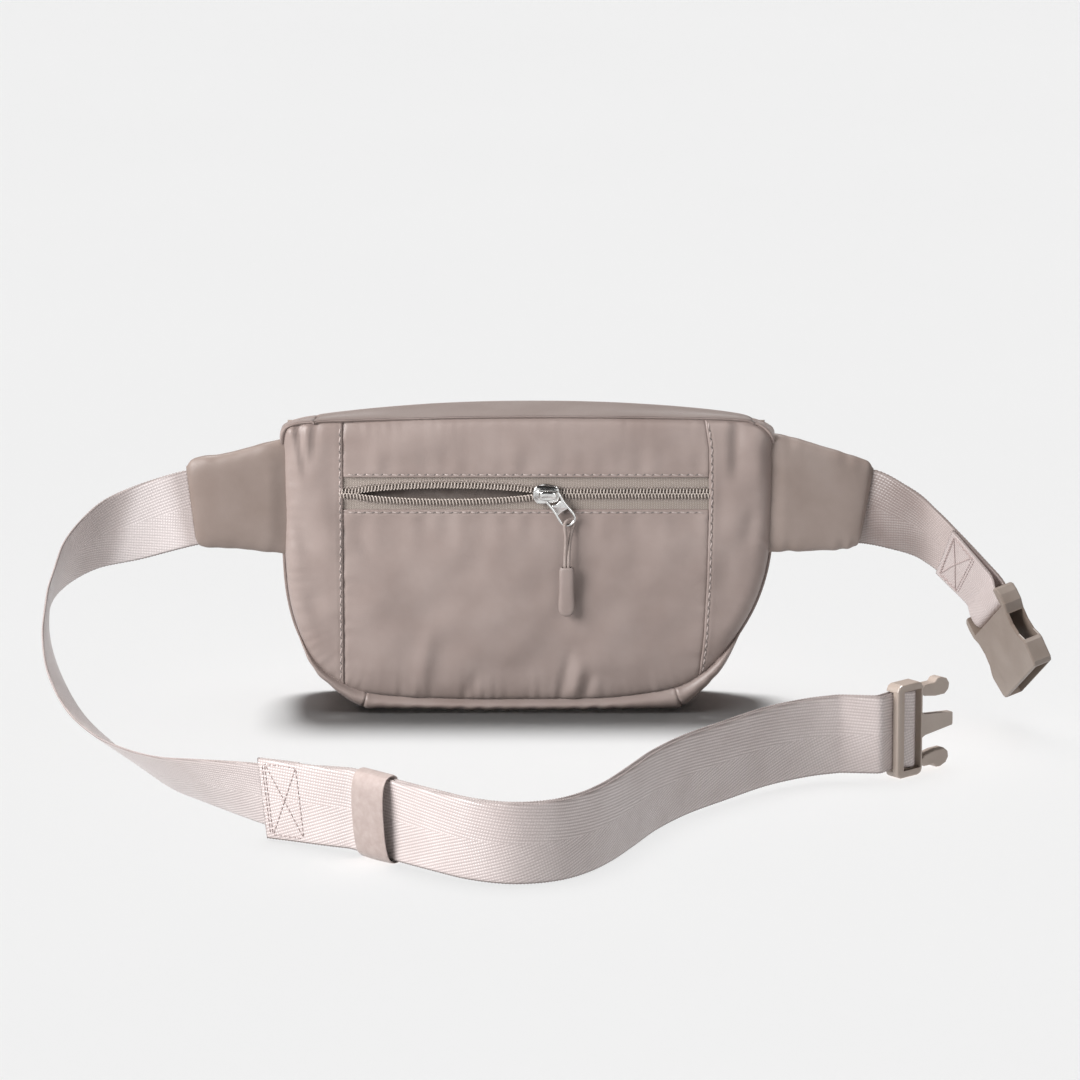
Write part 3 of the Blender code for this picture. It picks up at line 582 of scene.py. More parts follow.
# Darker copies of the satin: painted shade on the wings, more on the left wing
LEFT_WING_SHADED_SATIN = satin_cloth("painted_shade_left_wing_satin", (0.203, 0.153, 0.131), 0.46)
RIGHT_WING_SHADED_SATIN = satin_cloth("painted_shade_right_wing_satin", (0.240, 0.186, 0.162), 0.46)
LINING = plain_knit("lining_cloth", (0.22, 0.175, 0.155), 0.7, 0.6, 0.00005)
TAPE = tape_cloth("zip_tape", (0.36, 0.295, 0.255))
COIL = coil_nylon("zip_coil", (0.46, 0.39, 0.345))
NICKEL = plated("nickel_plate")
CORD = plain_knit("pull_cord", (0.33, 0.262, 0.235), 0.6, 0.7, 0.00012)
RUBBER = moulded("grip_rubber", (0.25, 0.194, 0.176), 0.5, 0.1)
# Webbing, with the tone of the painted highlight on the long strap beside the wing
WEBBING = web_cloth("webbing", (0.585, 0.505, 0.49), painted_highlight=(0.83, 0.75, 0.74))
RIBBON = plain_knit("keeper_ribbon", (0.38, 0.30, 0.275), 0.36, 0.5, 0.00009)
# Paler and darker copies of one buckle plastic: painted light on the male buckle, painted shade on the female
# socket
LIT_BUCKLE_PLASTIC = moulded("buckle_plastic", (0.335, 0.262, 0.217), 0.34, 0.14, 0.15)
SHADED_SOCKET_PLASTIC = moulded("painted_shade_socket_plastic", (0.168, 0.123, 0.096), 0.36, 0.12, 0.12)
# The zip's real core cord, coloured dark as painted shade in the gaps between the coil's teeth
CORE_CORD_AND_SHADE = plain_knit("zip_core_cord_painted_shade", (0.16, 0.125, 0.108), 0.8, 0.6, 0.0001)
SATIN_THREAD = thread("satin_thread", (0.42, 0.34, 0.315))
# Dark colour that paints the shade in the needle holes
HOLE_SHADE = thread("needle_hole_shade", (0.10, 0.075, 0.067))
# Darker copy of the webbing as painted shade on the short strap, with its painted highlight tone, and a paler
# copy as painted light on the layer folded on top
SHADED_SHORT_WEBBING = web_cloth("painted_shade_short_webbing", (0.255, 0.20, 0.185), 0.42, painted_highlight=(0.50, 0.42, 0.40))
LIT_FOLD_WEBBING = web_cloth("painted_light_fold_webbing", (0.55, 0.465, 0.45), 0.34)
WEB_THREAD = thread("web_thread", (0.37, 0.275, 0.26))


# ------------------------------------------------------- camera and lights

CAMERA_TARGET = (0.0069, -0.022, 0.0882)
CAMERA_PITCH = 14.0
CAMERA_DISTANCE = 3.5
CAMERA_LENS = 236.8
BAG_TARGET = (0.0, -0.1, 0.06)
FLOOR_HALF = 40
WORLD_LIGHT = 0.02
OVERHEAD_LIGHT = 2.70
WIDE_LIGHT = 0.54
OVERHEAD_BAG_LIGHT = 2.85
KEY_LIGHT = 24.8
FILL_LIGHT = 15.6


def look_at(obj, target):
    toward = Vector(target) - obj.location
    obj.rotation_mode = "QUATERNION"
    obj.rotation_quaternion = toward.to_track_quat("-Z", "Y")


def add_camera():
    data = bpy.data.cameras.new("camera")
    data.sensor_width = 36.0
    data.lens = CAMERA_LENS
    data.clip_end = 60.0
    obj = new_object("camera", data)
    target = Vector(CAMERA_TARGET)
    pitch = math.radians(CAMERA_PITCH)
    obj.location = target + Vector((0, -math.cos(pitch), math.sin(pitch))) * CAMERA_DISTANCE
    look_at(obj, target)
    bpy.context.scene.camera = obj


def add_sun(name, toward, spread, strength, lit):
    """Soft light from one direction on one collection."""
    data = bpy.data.lights.new(name, "SUN")
    data.angle = math.radians(spread)
    data.energy = strength
    place_light(name, data, Vector(toward) * 3, (0, 0, 0), lit)


def add_softbox(name, place, target, size, power, lit):
    """Round soft light aimed at a target, on one collection."""
    data = bpy.data.lights.new(name, "AREA")
    data.shape = "DISK"
    data.size = size
    data.energy = power
    place_light(name, data, Vector(place), target, lit)


def place_light(name, data, place, target, lit):
    obj = new_object(name, data)
    obj.location = place
    look_at(obj, target)
    obj.light_linking.receiver_collection = lit


def add_stage():
    """Floor, world and lights.  Returns the collection that the bag's own lights fall on."""
    mesh = bpy.data.meshes.new("floor")
    corners = [(x * FLOOR_HALF, y * FLOOR_HALF, 0) for x, y in ((-1, -1), (1, -1), (1, 1), (-1, 1))]
    mesh.from_pydata(corners, [], [(0, 1, 2, 3)])
    mesh.materials.append(floor_paint("floor_paint"))
    floor = new_object("floor", mesh)
    floor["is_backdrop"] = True
    world = bpy.data.worlds.new("studio")
    world.use_nodes = True
    background = world.node_tree.nodes["Background"]
    background.inputs["Color"].default_value = (1.0, 1.0, 1.0, 1.0)
    background.inputs["Strength"].default_value = WORLD_LIGHT
    bpy.context.scene.world = world
    bpy.context.scene.view_settings.view_transform = "Standard"
    bag_only = bpy.data.collections.new("bag_only")
    floor_only = bpy.data.collections.new("floor_only")
    floor_only.objects.link(floor)
    add_sun("overhead", (-0.03, 0.25, 1.0), 16.0, OVERHEAD_LIGHT, floor_only)
    add_sun("overhead_wide", (-0.03, 0.1, 1.0), 50.0, WIDE_LIGHT, floor_only)
    add_sun("overhead_bag", (-0.03, 0.19, 1.0), 12.0, OVERHEAD_BAG_LIGHT, bag_only)
    add_softbox("key", (-0.87, -0.67, 0.62), (-0.02, -0.1, 0.06), 0.8, KEY_LIGHT, bag_only)
    add_softbox("fill", (1.6, -2.2, 0.9), BAG_TARGET, 1.6, FILL_LIGHT, bag_only)
    return bag_only


# Pieces too high over the floor to shade it
HIGH_PIECES = ("left_wing_pad", "right_wing_pad", "right_strap_web", "right_strap_stitches",
               "female_buckle", "long_strap_web")
# The middle of the bag, which alone shades the floor from the sharper sun
MIDDLE_PIECES = ("back_panel_lower_cloth", "back_panel_upper_cloth", "back_zip_tape_lower_cloth",
                 "back_zip_tape_upper_cloth", "top_gusset_cloth", "bottom_gusset_cloth",
                 "left_gusset_cloth", "right_gusset_cloth")
# Pieces that throw no light back on the floor's shade
NO_BOUNCE = ("long_strap_web", "strap_tail_web", "strap_tail_hem", "back_panel_lower_cloth",
             "bottom_gusset_cloth")


def light_bag(bag_only):
    """Put the bag under its own lights; only pieces near the floor shade the floor.

    The sharper overhead sun is shaded by the bag's middle panels and gussets alone.
    """
    low = bpy.data.collections.new("shades_floor")
    middle = bpy.data.collections.new("shades_floor_sharply")
    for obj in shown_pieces():
        bag_only.objects.link(obj)
        if obj.name not in HIGH_PIECES:
            low.objects.link(obj)
        if obj.name in MIDDLE_PIECES:
            middle.objects.link(obj)
        if obj.name in NO_BOUNCE:
            obj.visible_diffuse = False
    for name, blockers in (("overhead", middle), ("overhead_wide", low), ("overhead_bag", low)):
        bpy.data.objects[name].light_linking.blocker_collection = blockers


add_camera()
BAG_ONLY = add_stage()


# -------------------------------------------------------------------- belt

def rolled(route, steps):
    """Middle line and width direction along a route of (x, y, z, roll)."""
    curve = spline(route, steps)
    middle = curve[:, :3]
    ahead = unit(np.gradient(middle, axis=0))
    up = unit(Z_AXIS - ahead * ahead[:, 2:])
    side = np.cross(ahead, up)
    roll = np.radians(curve[:, 3:])
    return middle, up * np.cos(roll) + side * np.sin(roll)


def male_point(x, y):
    """A point at mid-height of the male buckle, from its own axes."""
    turn = math.radians(MALE_YAW)
    return np.array([MALE_PLACE[0] + x * math.cos(turn) - y * math.sin(turn),
                     MALE_PLACE[1] + x * math.sin(turn) + y * math.cos(turn), MALE_PLACE[2]])


def female_axes():
    """The female buckle's length, depth and bar directions."""
    x = unit(np.array(FEMALE_LENGTH_AXIS))
    z = np.array(FEMALE_BAR_AXIS)
    z = unit(z - x * (z @ x))
    return x, np.cross(z, x), z


def female_point(x, y):
    """A point at mid-width of the female buckle, from its own axes."""
    a, b, _ = female_axes()
    return np.array(FEMALE_PLACE) + a * x + b * y


def web_line(middle, across):
    """Even stations along a strap: middle, width direction and face direction."""
    both = smooth(evenly(np.hstack([middle, across]), WEB_STATION), 6)
    middle, across = both[:, :3], both[:, 3:]
    ahead = unit(np.gradient(middle, axis=0))
    across = unit(across - ahead * (across * ahead).sum(1, keepdims=True))
    return middle, across, np.cross(ahead, across)


def two_faced(across, half):
    """A flat closed section: its lower face, then its upper face back again."""
    return np.vstack([np.stack([across, -half], 1), np.stack([across, half], 1)[::-1]])


def web_section():
    """Section of the webbing as (across, up): flat with round bumpy selvedges."""
    even = np.linspace(-1, 1, 25)
    share = 0.55 * np.sin(even * math.pi / 2) + 0.45 * even
    selvedge = bump(np.abs(share) - 0.945, 0.02)
    half = WEB_THICKNESS / 2 * (1 - 0.62 * np.abs(share) ** 26) + 0.05 * selvedge
    return two_faced(share * WEB_WIDTH / 2, half)


def web_piece(name, line, body, replaced, material=None):
    """A length of webbing whose selvedges step in and out at each weft."""
    middle, across, over = line
    section = web_section()
    far = np.abs(section[:, 0]) > WEB_WIDTH / 2 - 0.4
    step = np.where(np.arange(len(middle)) % 2 == 0, 0.13, -0.13)[:, None]
    nudge = step * far * np.sign(section[:, 0])
    rings = (middle[:, None] + across[:, None] * (section[None, :, :1] + nudge[:, :, None])
             + over[:, None] * section[None, :, 1:])
    cloth = np.stack(np.broadcast_arrays(section[None, :, 0], lengths(middle)[:, None], 0.0), -1)
    return piece(name, rings.reshape(-1, 3), capped(len(middle), len(section)), material or WEBBING,
                 body, replaced=replaced, slot="webbing", cloth=cloth.reshape(-1, 3))


def paint_web_light(strap, painted_light_zone):
    """Where a strap gets painted highlight (zone above 0) or painted shade (below 0), from a function of
    (across, along) in millimetres.
    """
    for spot in strap.data.attributes["cloth"].data:
        across, along, _ = spot.vector
        spot.vector[2] = float(painted_light_zone(across, along))


def wing_painted_light(across, along):
    """Painted highlight on the long strap beside the wing, slanting over its width, with painted shade before
    and after it.
    """
    start, end = 15.0, 49.0 - 0.53 * across
    return (0.9 * ramp(start, start + 11.0, along) * (1 - ramp(end - 8.0, end + 5.0, along))
            - 0.4 * (1 - ramp(start, start + 5.0, along)) - 0.3 * bump(along - end - 13.0, 9.0))


def web_stitches(name, line, rows, body, side):
    """Stitch rows on a strap, each row a list of (distance along, across)."""
    middle, across, over = line
    s = lengths(middle)
    both = np.hstack([middle, across, over])
    parts = []
    for row in rows:
        path = evenly(np.array([(a, b, 0.0) for a, b in row], float), 1.0)
        values = np.stack([np.interp(path[:, 0], s, column) for column in both.T], -1)
        out = unit(values[len(values) // 2, 6:9]) * side
        spots = (values[:, :3] + values[:, 3:6] * path[:, 1:2]
                 + values[:, 6:9] * side * (WEB_THICKNESS / 2 + 0.02))
        parts.append(stitches(spots, out, 0.86 * WEB_STITCH_PITCH, 0.24, WEB_STITCH_PITCH))
    return piece(name, *gather(parts), WEB_THREAD, body)


def boxed_cross(low, length, half):
    """Rows of the boxed cross that fastens a hem."""
    high = low + length
    return [[(low, -half), (low, half)], [(low + 1.3, -half), (low + 1.3, half)],
            [(high, -half), (high, half)], [(low, -half), (high, -half)], [(low, half), (high, half)],
            [(low + 1.5, -half), (high, half)], [(low + 1.5, half), (high, -half)]]


def arc_points(centre, radius, last):
    """Nine points round an arc that starts straight up and turns to an angle."""
    angles = np.radians(np.linspace(0, last, 9))
    return [(centre[0] + radius * math.sin(a), centre[1] + radius * math.cos(a)) for a in angles]


def side_of(tail, main):
    """+1 where the tail's own normal points away from the layer behind it."""
    k = len(tail[0]) // 2
    near = main[0][np.argmin(np.linalg.norm(main[0] - tail[0][k], axis=1))]
    return float(np.sign((tail[0][k] - near) @ tail[2][k]))


def belt_lines():
    """Lines of the long strap and of its tail, meeting at the male buckle's bar."""
    up = np.broadcast_to(Z_AXIS, (2000, 3))
    middle = spline(DOUBLE_ROUTE, 10)
    ahead = unit(np.gradient(middle, axis=0))
    away = unit(np.cross(Z_AXIS, ahead)) * (LAYER_SPACING / 2)
    bar_x, bar_y, bar_r = MALE_BAR
    reach = bar_r + 0.4 + WEB_THICKNESS / 2
    turn = [(bar_x + 1.25 * (x - bar_x), y) for x, y in arc_points((bar_x, bar_y), reach, 86)]
    back_entry = spline([male_point(*p) for p in [(-8, 2.2), (0, 3.3), (4.4, 3.4), (8, 3.7)] + turn], 4)
    front_entry = spline([male_point(*p) for p in [(-8, -0.6), (0, 0.6), (4.4, 0.3), (8, -1.6)]
                          + [(x, bar_y - 1.5 * (y - bar_y)) for x, y in turn]], 4)
    route, roll = rolled(LEFT_ROUTE, 10)
    main_middle = np.vstack([route, middle + away, back_entry])
    main_across = np.vstack([roll, up[:len(middle) + len(back_entry)]])
    main = web_line(main_middle, main_across)
    tail_start = spline(TAIL_END_ROUTE + [tuple(middle[0] - away[0])], 8)[:-1]
    tail_middle = np.vstack([tail_start, middle - away, front_entry])
    tail = web_line(tail_middle, up[:len(tail_middle)])
    lean = TAIL_LEAN * (1 - ramp(10, 75, lengths(tail[0])))[:, None]
    return main, (tail[0], tail[1] - unit(np.gradient(tail[0], axis=0)) * lean, tail[2])


def build_belt():
    """The long strap, and its tail with a boxed hem doubled back from the buckle."""
    main, tail = belt_lines()
    long_strap = web_piece("long_strap_web", main, "left_wing", ["long_strap"])
    # Painted highlight and painted shade on the long strap beside the wing
    paint_web_light(long_strap, wing_painted_light)
    strap_tail = web_piece("strap_tail_web", tail, "left_wing", ["strap_tail"])
    side = side_of(tail, main)
    middle, across, over = (part[:HEM_STATIONS] for part in tail)
    hem_line = (middle - over * side * HEM_LAYER_SPACING, across, over)
    hem = web_piece("strap_tail_hem", hem_line, "left_wing", ())
    cross = web_stitches("strap_tail_stitches", tail, boxed_cross(2.2, 17.5, 16.8), "left_wing", side)


build_belt()


# ---------------------------------------------------------------- bag body

RUN_STEPS = 10
HALF_DEPTH = 21.0
BACK_SEAM_Y = -20.9
SIDE_ROLL = 5.4
SIDE_ROLL_WIDTH = 8.5
PANEL_THICKNESS = 0.7
TOPSTITCH_INSET = 1.8
FRONT_STEP = 1.6
LEFT_PANEL_CORNERS = ((-94, 16.2), (-113, 145.2))
RIGHT_PANEL_CORNERS = ((88.5, 20.8), (114.5, 145.6))
FRONT_LOW_CORNERS = ((-100, 21), (96, 28.5))
FRONT_TOP_CORNERS = ((-112.5, 143.3), (113, 144.3))
EDGE_STEPS = (0.25, 0.6, 1.1, 1.7, 2.4, 3.3)
CREASES = [
    # (from x, z, to x, z, width, depth): soft folds pressed into the back
    (-112.3, 150, -109.4, 122, 1.9, 2.2), (-102.5, 150, -107.6, 122, 2.8, 1.1),
    (-107.4, 146, -107.6, 130, 2.0, -1.0), (-116.0, 140, -113.5, 112, 2.6, 1.0),
    (-113.5, 102, -107.5, 80, 5.0, 1.3), (-96.0, 114, -95.5, 70, 6.0, -1.15),
    (-114, 70, -103, 52, 6.0, 0.9), (-97, 60, -95, 34, 5.0, -0.6),
    (-54, 7, -47, 42, 4.6, -1.1), (-30, 8, -24, 20, 3.5, 0.8),
    (17, 7, 22, 31, 2.6, 1.0), (23, 8, 28, 26, 2.6, -0.8), (29, 8, 33, 20, 2.2, 0.7),
    (-85, 99, -76, 78, 4.5, 0.9), (-52, 98, -47, 60, 12.0, -1.35),
    (-20, 97, -28, 60, 7.0, 0.6), (-38, 70, -8, 52, 9.0, 0.5),
    (60, 96, 52, 66, 8.0, 0.6), (20, 60, 60, 40, 12.0, -0.6),
    (103.8, 149, 102.4, 119, 3.2, 1.5), (114.5, 143, 113.5, 119, 5.5, -1.2),
    (97, 124, 95, 98, 4.5, 0.8), (113, 104, 108, 84, 4.0, 0.9), (101, 84, 97, 52, 5.0, 0.6),
]


def seam_line():
    """The whole seam line as an even loop of (x, z), and where its runs start."""
    loop = []
    starts = []
    for run in (BOTTOM_RUN, RIGHT_RUN, TOP_RUN, LEFT_RUN):
        starts.append(len(loop) * RUN_STEPS)
        loop += run[:-1]
    return spline(loop, RUN_STEPS, closed=True), starts


OUTLINE, RUN_STARTS = seam_line()
FRONT_OUTLINE = OUTLINE * np.array([1.0, FRONT_HEIGHT_RATIO])


def along_outline(outline, first, last):
    """The outline's points from the one nearest first to the one nearest last."""
    a = int(np.argmin(np.hypot(*(outline - np.array(first)).T)))
    b = int(np.argmin(np.hypot(*(outline - np.array(last)).T)))
    if b < a:
        b += len(outline)
    return outline[np.arange(a, b + 1) % len(outline)]


def params(length, step):
    """Shares of a length, even inside and close together near both ends."""
    *near, first = EDGE_STEPS
    inner = np.linspace(first, length - first, max(2, round((length - 2 * first) / step)))
    where = np.concatenate([[0.0], near, inner, length - np.array(near[::-1]), [length]])
    return where / length


def patch(bottom, top, left, right, step):
    """Grid of (x, z) filling four boundary lines, and the distance of each point
    from the left, the right, the bottom and the top."""
    width = max(lengths(bottom)[-1], lengths(top)[-1])
    height = max(lengths(left)[-1], lengths(right)[-1])
    u = params(width, step)
    v = params(height, step)
    low, high = (at(line, u * lengths(line)[-1]) for line in (bottom, top))
    west, east = (at(line, v * lengths(line)[-1]) for line in (left, right))
    u, v = np.meshgrid(u, v)
    right_share, up_share = u[..., None], v[..., None]
    left_share, down_share = 1 - right_share, 1 - up_share
    grid = (down_share * low[None] + up_share * high[None]
            + left_share * west[:, None] + right_share * east[:, None]
            - left_share * down_share * low[0] - right_share * down_share * low[-1]
            - left_share * up_share * high[0] - right_share * up_share * high[-1])
    across = np.linalg.norm(east - west, axis=1)[:, None]
    tall = np.linalg.norm(high - low, axis=1)[None, :]
    return grid, u * across, (1 - u) * across, v * tall, (1 - v) * tall


def seam_distance(x, z, outline):
    """Distance to the seam line, and the place along it, of many points."""
    points = np.stack([x.ravel(), z.ravel()], 1)
    loop = np.vstack([outline, outline[:1]])
    s = lengths(loop)
    best = np.full(len(points), 1e9)
    where = np.zeros(len(points))
    for k in range(len(loop) - 1):
        a, d = loop[k], loop[k + 1] - loop[k]
        share = np.clip((points - a) @ d / (d @ d), 0, 1)
        gap = np.hypot(*(points - a - share[:, None] * d).T)
        near = gap < best
        best[near] = gap[near]
        where[near] = (s[k] + share * (s[k + 1] - s[k]))[near]
    return best.reshape(x.shape), where.reshape(x.shape)


def puckers(where, seed, size=6.5):
    """Uneven ripple along a sewn line, from about -1 to 1."""
    rng = np.random.default_rng(seed)
    total = np.zeros_like(where)
    for _ in range(6):
        total += np.sin(where * 2 * math.pi / (size * rng.uniform(0.6, 2.2)) + rng.uniform(0, 6.3))
    return total / 2.6


def crease_field(x, z):
    """Depth of all the creases together, each fading out at its ends."""
    total = np.zeros_like(x)
    for x0, z0, x1, z1, width, depth in CREASES:
        d = np.array([x1 - x0, z1 - z0])
        length = np.hypot(*d)
        along = ((x - x0) * d[0] + (z - z0) * d[1]) / length
        off = ((x - x0) * d[1] - (z - z0) * d[0]) / length
        bend = 0.06 * width * np.sin(along / length * 5.0)
        fade = ramp(-0.25 * length, 0.3 * length, along) * (1 - ramp(0.6 * length, 1.25 * length, along))
        ridge = bump(off - bend - 1.6 * width, 1.4 * width)
        total += depth * fade * (bump(off - bend, width) - 0.35 * ridge)
    return total


def side_share(x, z):
    """1 along the bag's sides, where the back rolls right over its seam."""
    return ramp(24.0, 44.0, z) * (1 - ramp(131.0, 143.0, z)) * ramp(70.0, 100.0, np.abs(x))


def rolled_edge(gap, side):
    """Fall of a panel towards a seam that lies further round the side."""
    return SIDE_ROLL * side * (1 - np.sqrt(1 - (1 - np.minimum(gap / SIDE_ROLL_WIDTH, 1)) ** 2))


def back_depth(x, z):
    """How far the stuffed back stands off the seam plane, in millimetres."""
    gap, where = seam_distance(x, z, OUTLINE)
    swell = 1.9 * (1 - np.exp(-gap / 3.2)) + 2.0 * (1 - np.exp(-gap / 26.0))
    groove = -1.1 * np.exp(-gap / 0.7) * (1 - 0.8 * bump(z - 48, 22.0) * (x < -100))
    ripple = 0.27 * puckers(where, 11) * np.exp(-gap / 6.0) * ramp(0.0, 1.5, gap)
    ripple = ripple * (1 - 0.6 * ramp(120, 140, z))
    soft = 0.75 * waves(x, z, 3, 62.0) + 0.26 * waves(x, z, 5, 24.0)
    soft = soft * ramp(2.0, 18.0, gap)
    sag = -0.7 * ramp(150, 104, z) * bump(x - 10, 70) * ramp(60, 104, z)
    from_seam = x + SIDE_SEAM
    reach = np.where(from_seam > 0, from_seam / 24.0, -from_seam / 9.0)
    sag = sag - 1.5 * np.exp(-reach) * ramp(14.0, 40.0, z)
    depth = swell + groove + ripple + soft + sag - crease_field(x, z)
    off = np.abs(z - BACK_ZIP_HEIGHT)
    at_zip = (1 - ramp(ZIP_HALF_WINDOW, 30.0, off)) * (1 - ramp(84.0, 104.0, np.abs(x)))
    depth = depth + (1.6 - depth) * at_zip * ramp(0.0, 6.0, gap)
    return depth - rolled_edge(gap, side_share(x, z))


def droop(points):
    """The top's front corners sag, where the padding runs out."""
    x, y, z = np.moveaxis(points, -1, 0)
    sag = 5.8 * np.minimum(np.abs(x) / 114, 1) ** 2.3 * ramp(-19, 14, y) * ramp(MAIN_ZIP_HEIGHT + 9, 146, z)
    return np.stack([x, y, z - sag], -1)


def front_depth(x, z):
    """How far the stuffed front stands off its seam plane, in millimetres."""
    gap, where = seam_distance(x, z, FRONT_OUTLINE)
    swell = 2.0 * (1 - np.exp(-gap / 3.4)) + (4.6 - 2.6 * ramp(40, 75, z)) * (1 - np.exp(-gap / 30.0))
    groove = -1.1 * np.exp(-gap / 0.7)
    ripple = 0.45 * puckers(where, 23) * np.exp(-gap / 6.0) * ramp(0.0, 1.5, gap)
    soft = (0.6 * waves(x, z, 13, 70.0) + 0.22 * waves(x, z, 15, 26.0)) * ramp(2.0, 18.0, gap)
    depth = swell + groove + ripple + soft
    at_zip = 1 - ramp(ZIP_HALF_WINDOW, 34.0, np.abs(z - MAIN_ZIP_HEIGHT))
    return depth + (1.7 - depth) * at_zip * ramp(0.0, 6.0, gap)


def edge_relief(kind, gap, where, seed):
    """Height added near one edge of a panel; positive stands proud."""
    if kind == "fold":      # folded over and topstitched
        ripple = 0.14 * puckers(where, seed, 5.0)
        return (0.45 * (1 - ramp(0.9, 6.0, gap)) - 1.0 * np.exp(-(gap / 0.4) ** 2)
                - 0.33 * bump(gap - 1.8, 0.55) + ripple * np.exp(-gap / 3.0) * ramp(0.0, 1.2, gap))
    if kind == "under":     # runs in under its neighbour's fold
        ripple = 0.2 * puckers(where, seed, 7.0)
        return -0.6 * np.exp(-gap / 0.8) + ripple * np.exp(-gap / 5.0)
    if kind == "lip":       # zip lip, folded and topstitched, pulled into soft gathers
        ripple = 0.34 * puckers(where, seed, 12.0)
        return (0.35 * (1 - ramp(0.9, 7.0, gap)) - 1.1 * np.exp(-(gap / 0.4) ** 2)
                - 0.38 * bump(gap - 1.8, 0.55)
                + ripple * ramp(1.6, 4.0, gap) * np.exp(-(gap / 15.0) ** 2))
    return 0.0


def build_panel(name, lines, edges, back, seed, step=1.25):
    """A panel patch between four lines; edges name what each side is.

    Lines and edges come bottom, top, left, right.  Returns the outer surface.
    """
    grid, from_left, from_right, from_bottom, from_top = patch(*lines, step)
    x, z = grid[..., 0], grid[..., 1]
    depth = (back_depth if back else front_depth)(x, z)
    for number, (kind, gap) in enumerate(zip(edges, (from_bottom, from_top, from_left, from_right))):
        depth = depth + edge_relief(kind, gap, x if number < 2 else z, seed + number)
    sign = -1.0 if back else 1.0
    y = sign * (abs(BACK_SEAM_Y) + depth)
    surface = droop(np.stack([x, y, z], -1))
    cloth = np.stack([x, z], -1)
    sheet_piece(name + "_cloth", surface, PANEL_THICKNESS, -sign * Y_AXIS, SATIN, "root", cloth,
                replaced=[name], slot="satin_nylon")
    return surface


def height_at(outline, x, top):
    """Height of the outline's top or bottom side at x."""
    side = outline[outline[:, 1] > 90] if top else outline[outline[:, 1] < 60]
    side = side[np.argsort(side[:, 0])]
    return float(np.interp(x, side[:, 0], side[:, 1]))


def seam_x(z, side):
    """Where the vertical back seam on this side is at height z."""
    if side < 0:
        return np.full_like(np.asarray(z, float), -SIDE_SEAM - 0.1)
    return np.interp(z, [14, 20, 40, 70, 110, 135, 149], [84.6, 85.6, 87.8, 89.2, 90.0, 89.8, 87.6])


def seam_path(side, z_low, z_high):
    """The vertical back seam on this side between two heights."""
    z = np.linspace(z_low, z_high, 60)
    return np.stack([seam_x(z, side), z], -1)


def topstitch_line(surface, column=None, row=None):
    """The line of topstitching beside one edge column or row of a panel."""
    if row is not None:
        surface = surface.transpose(1, 0, 2)
        column = row
    nearer = surface[:, 1:] if column == 0 else surface[:, -2::-1]
    gap = np.linalg.norm(nearer - surface[:, [column]], axis=2)
    return np.array([[np.interp(TOPSTITCH_INSET, g, c) for c in n.T] for g, n in zip(gap, nearer)])


def sewn_row(key, line, out):
    """Thread of a topstitched row, and dark tubes between its stitches that paint the shade in the needle
    holes.
    """
    thread_mesh = stitches(line, out, length=2.9, radius=0.34, lean=0.5)
    piece("topstitch_" + key, *thread_mesh, SATIN_THREAD, "root")
    # Dark tubes as painted shade in the needle holes
    painted_hole_shade = stitches(line, out, length=1.5, radius=0.3, lean=-1.1, shift=0.5, sink=0.12)
    piece("topstitch_" + key + "_holes", *painted_hole_shade, HOLE_SHADE, "root")


def level(first, last, height):
    """A straight line of (x, z) at one height."""
    return np.stack([np.linspace(first, last, 90), np.full(90, height)], -1)


def build_back():
    """The back's four panels, and the topstitching along their folded edges."""
    lower_lip = BACK_ZIP_HEIGHT - ZIP_HALF_WINDOW
    upper_lip = BACK_ZIP_HEIGHT + ZIP_HALF_WINDOW
    foot, head = {}, {}
    for side in (-1, 1):
        low = height_at(OUTLINE, float(seam_x(20, side)), False)
        high = height_at(OUTLINE, float(seam_x(148, side)), True)
        foot[side] = (float(seam_x(low, side)), low)
        head[side] = (float(seam_x(high, side)), high)
    bottom = along_outline(OUTLINE, foot[-1], foot[1])
    top = along_outline(OUTLINE, head[1], head[-1])[::-1]
    lower_cut, upper_cut = (level(float(seam_x(z, -1)), float(seam_x(z, 1)), z)
                            for z in (lower_lip, upper_lip))
    lower = build_panel("back_panel_lower",
                        (bottom, lower_cut, seam_path(-1, bottom[0, 1], lower_lip),
                         seam_path(1, bottom[-1, 1], lower_lip)),
                        ("seam", "lip", "under", "under"), True, 31)
    upper = build_panel("back_panel_upper",
                        (upper_cut, top, seam_path(-1, upper_lip, top[0, 1]),
                         seam_path(1, upper_lip, top[-1, 1])),
                        ("lip", "seam", "under", "under"), True, 41)
    low, high = LEFT_PANEL_CORNERS
    left = build_panel("back_panel_left",
                       (along_outline(OUTLINE, low, foot[-1]), along_outline(OUTLINE, head[-1], high)[::-1],
                        along_outline(OUTLINE, high, low)[::-1], seam_path(-1, foot[-1][1], head[-1][1])),
                       ("seam", "seam", "seam", "fold"), True, 51)
    low, high = RIGHT_PANEL_CORNERS
    right = build_panel("back_panel_right",
                        (along_outline(OUTLINE, foot[1], low), along_outline(OUTLINE, high, head[1])[::-1],
                         seam_path(1, foot[1][1], head[1][1]), along_outline(OUTLINE, low, high)),
                        ("seam", "seam", "fold", "seam"), True, 61)
    for key, surface, edge in (("lower_lip", lower, {"row": -1}), ("upper_lip", upper, {"row": 0}),
                               ("left", left, {"column": -1}), ("right", right, {"column": 0})):
        sewn_row(key, topstitch_line(surface, **edge)[3:-3], -Y_AXIS)


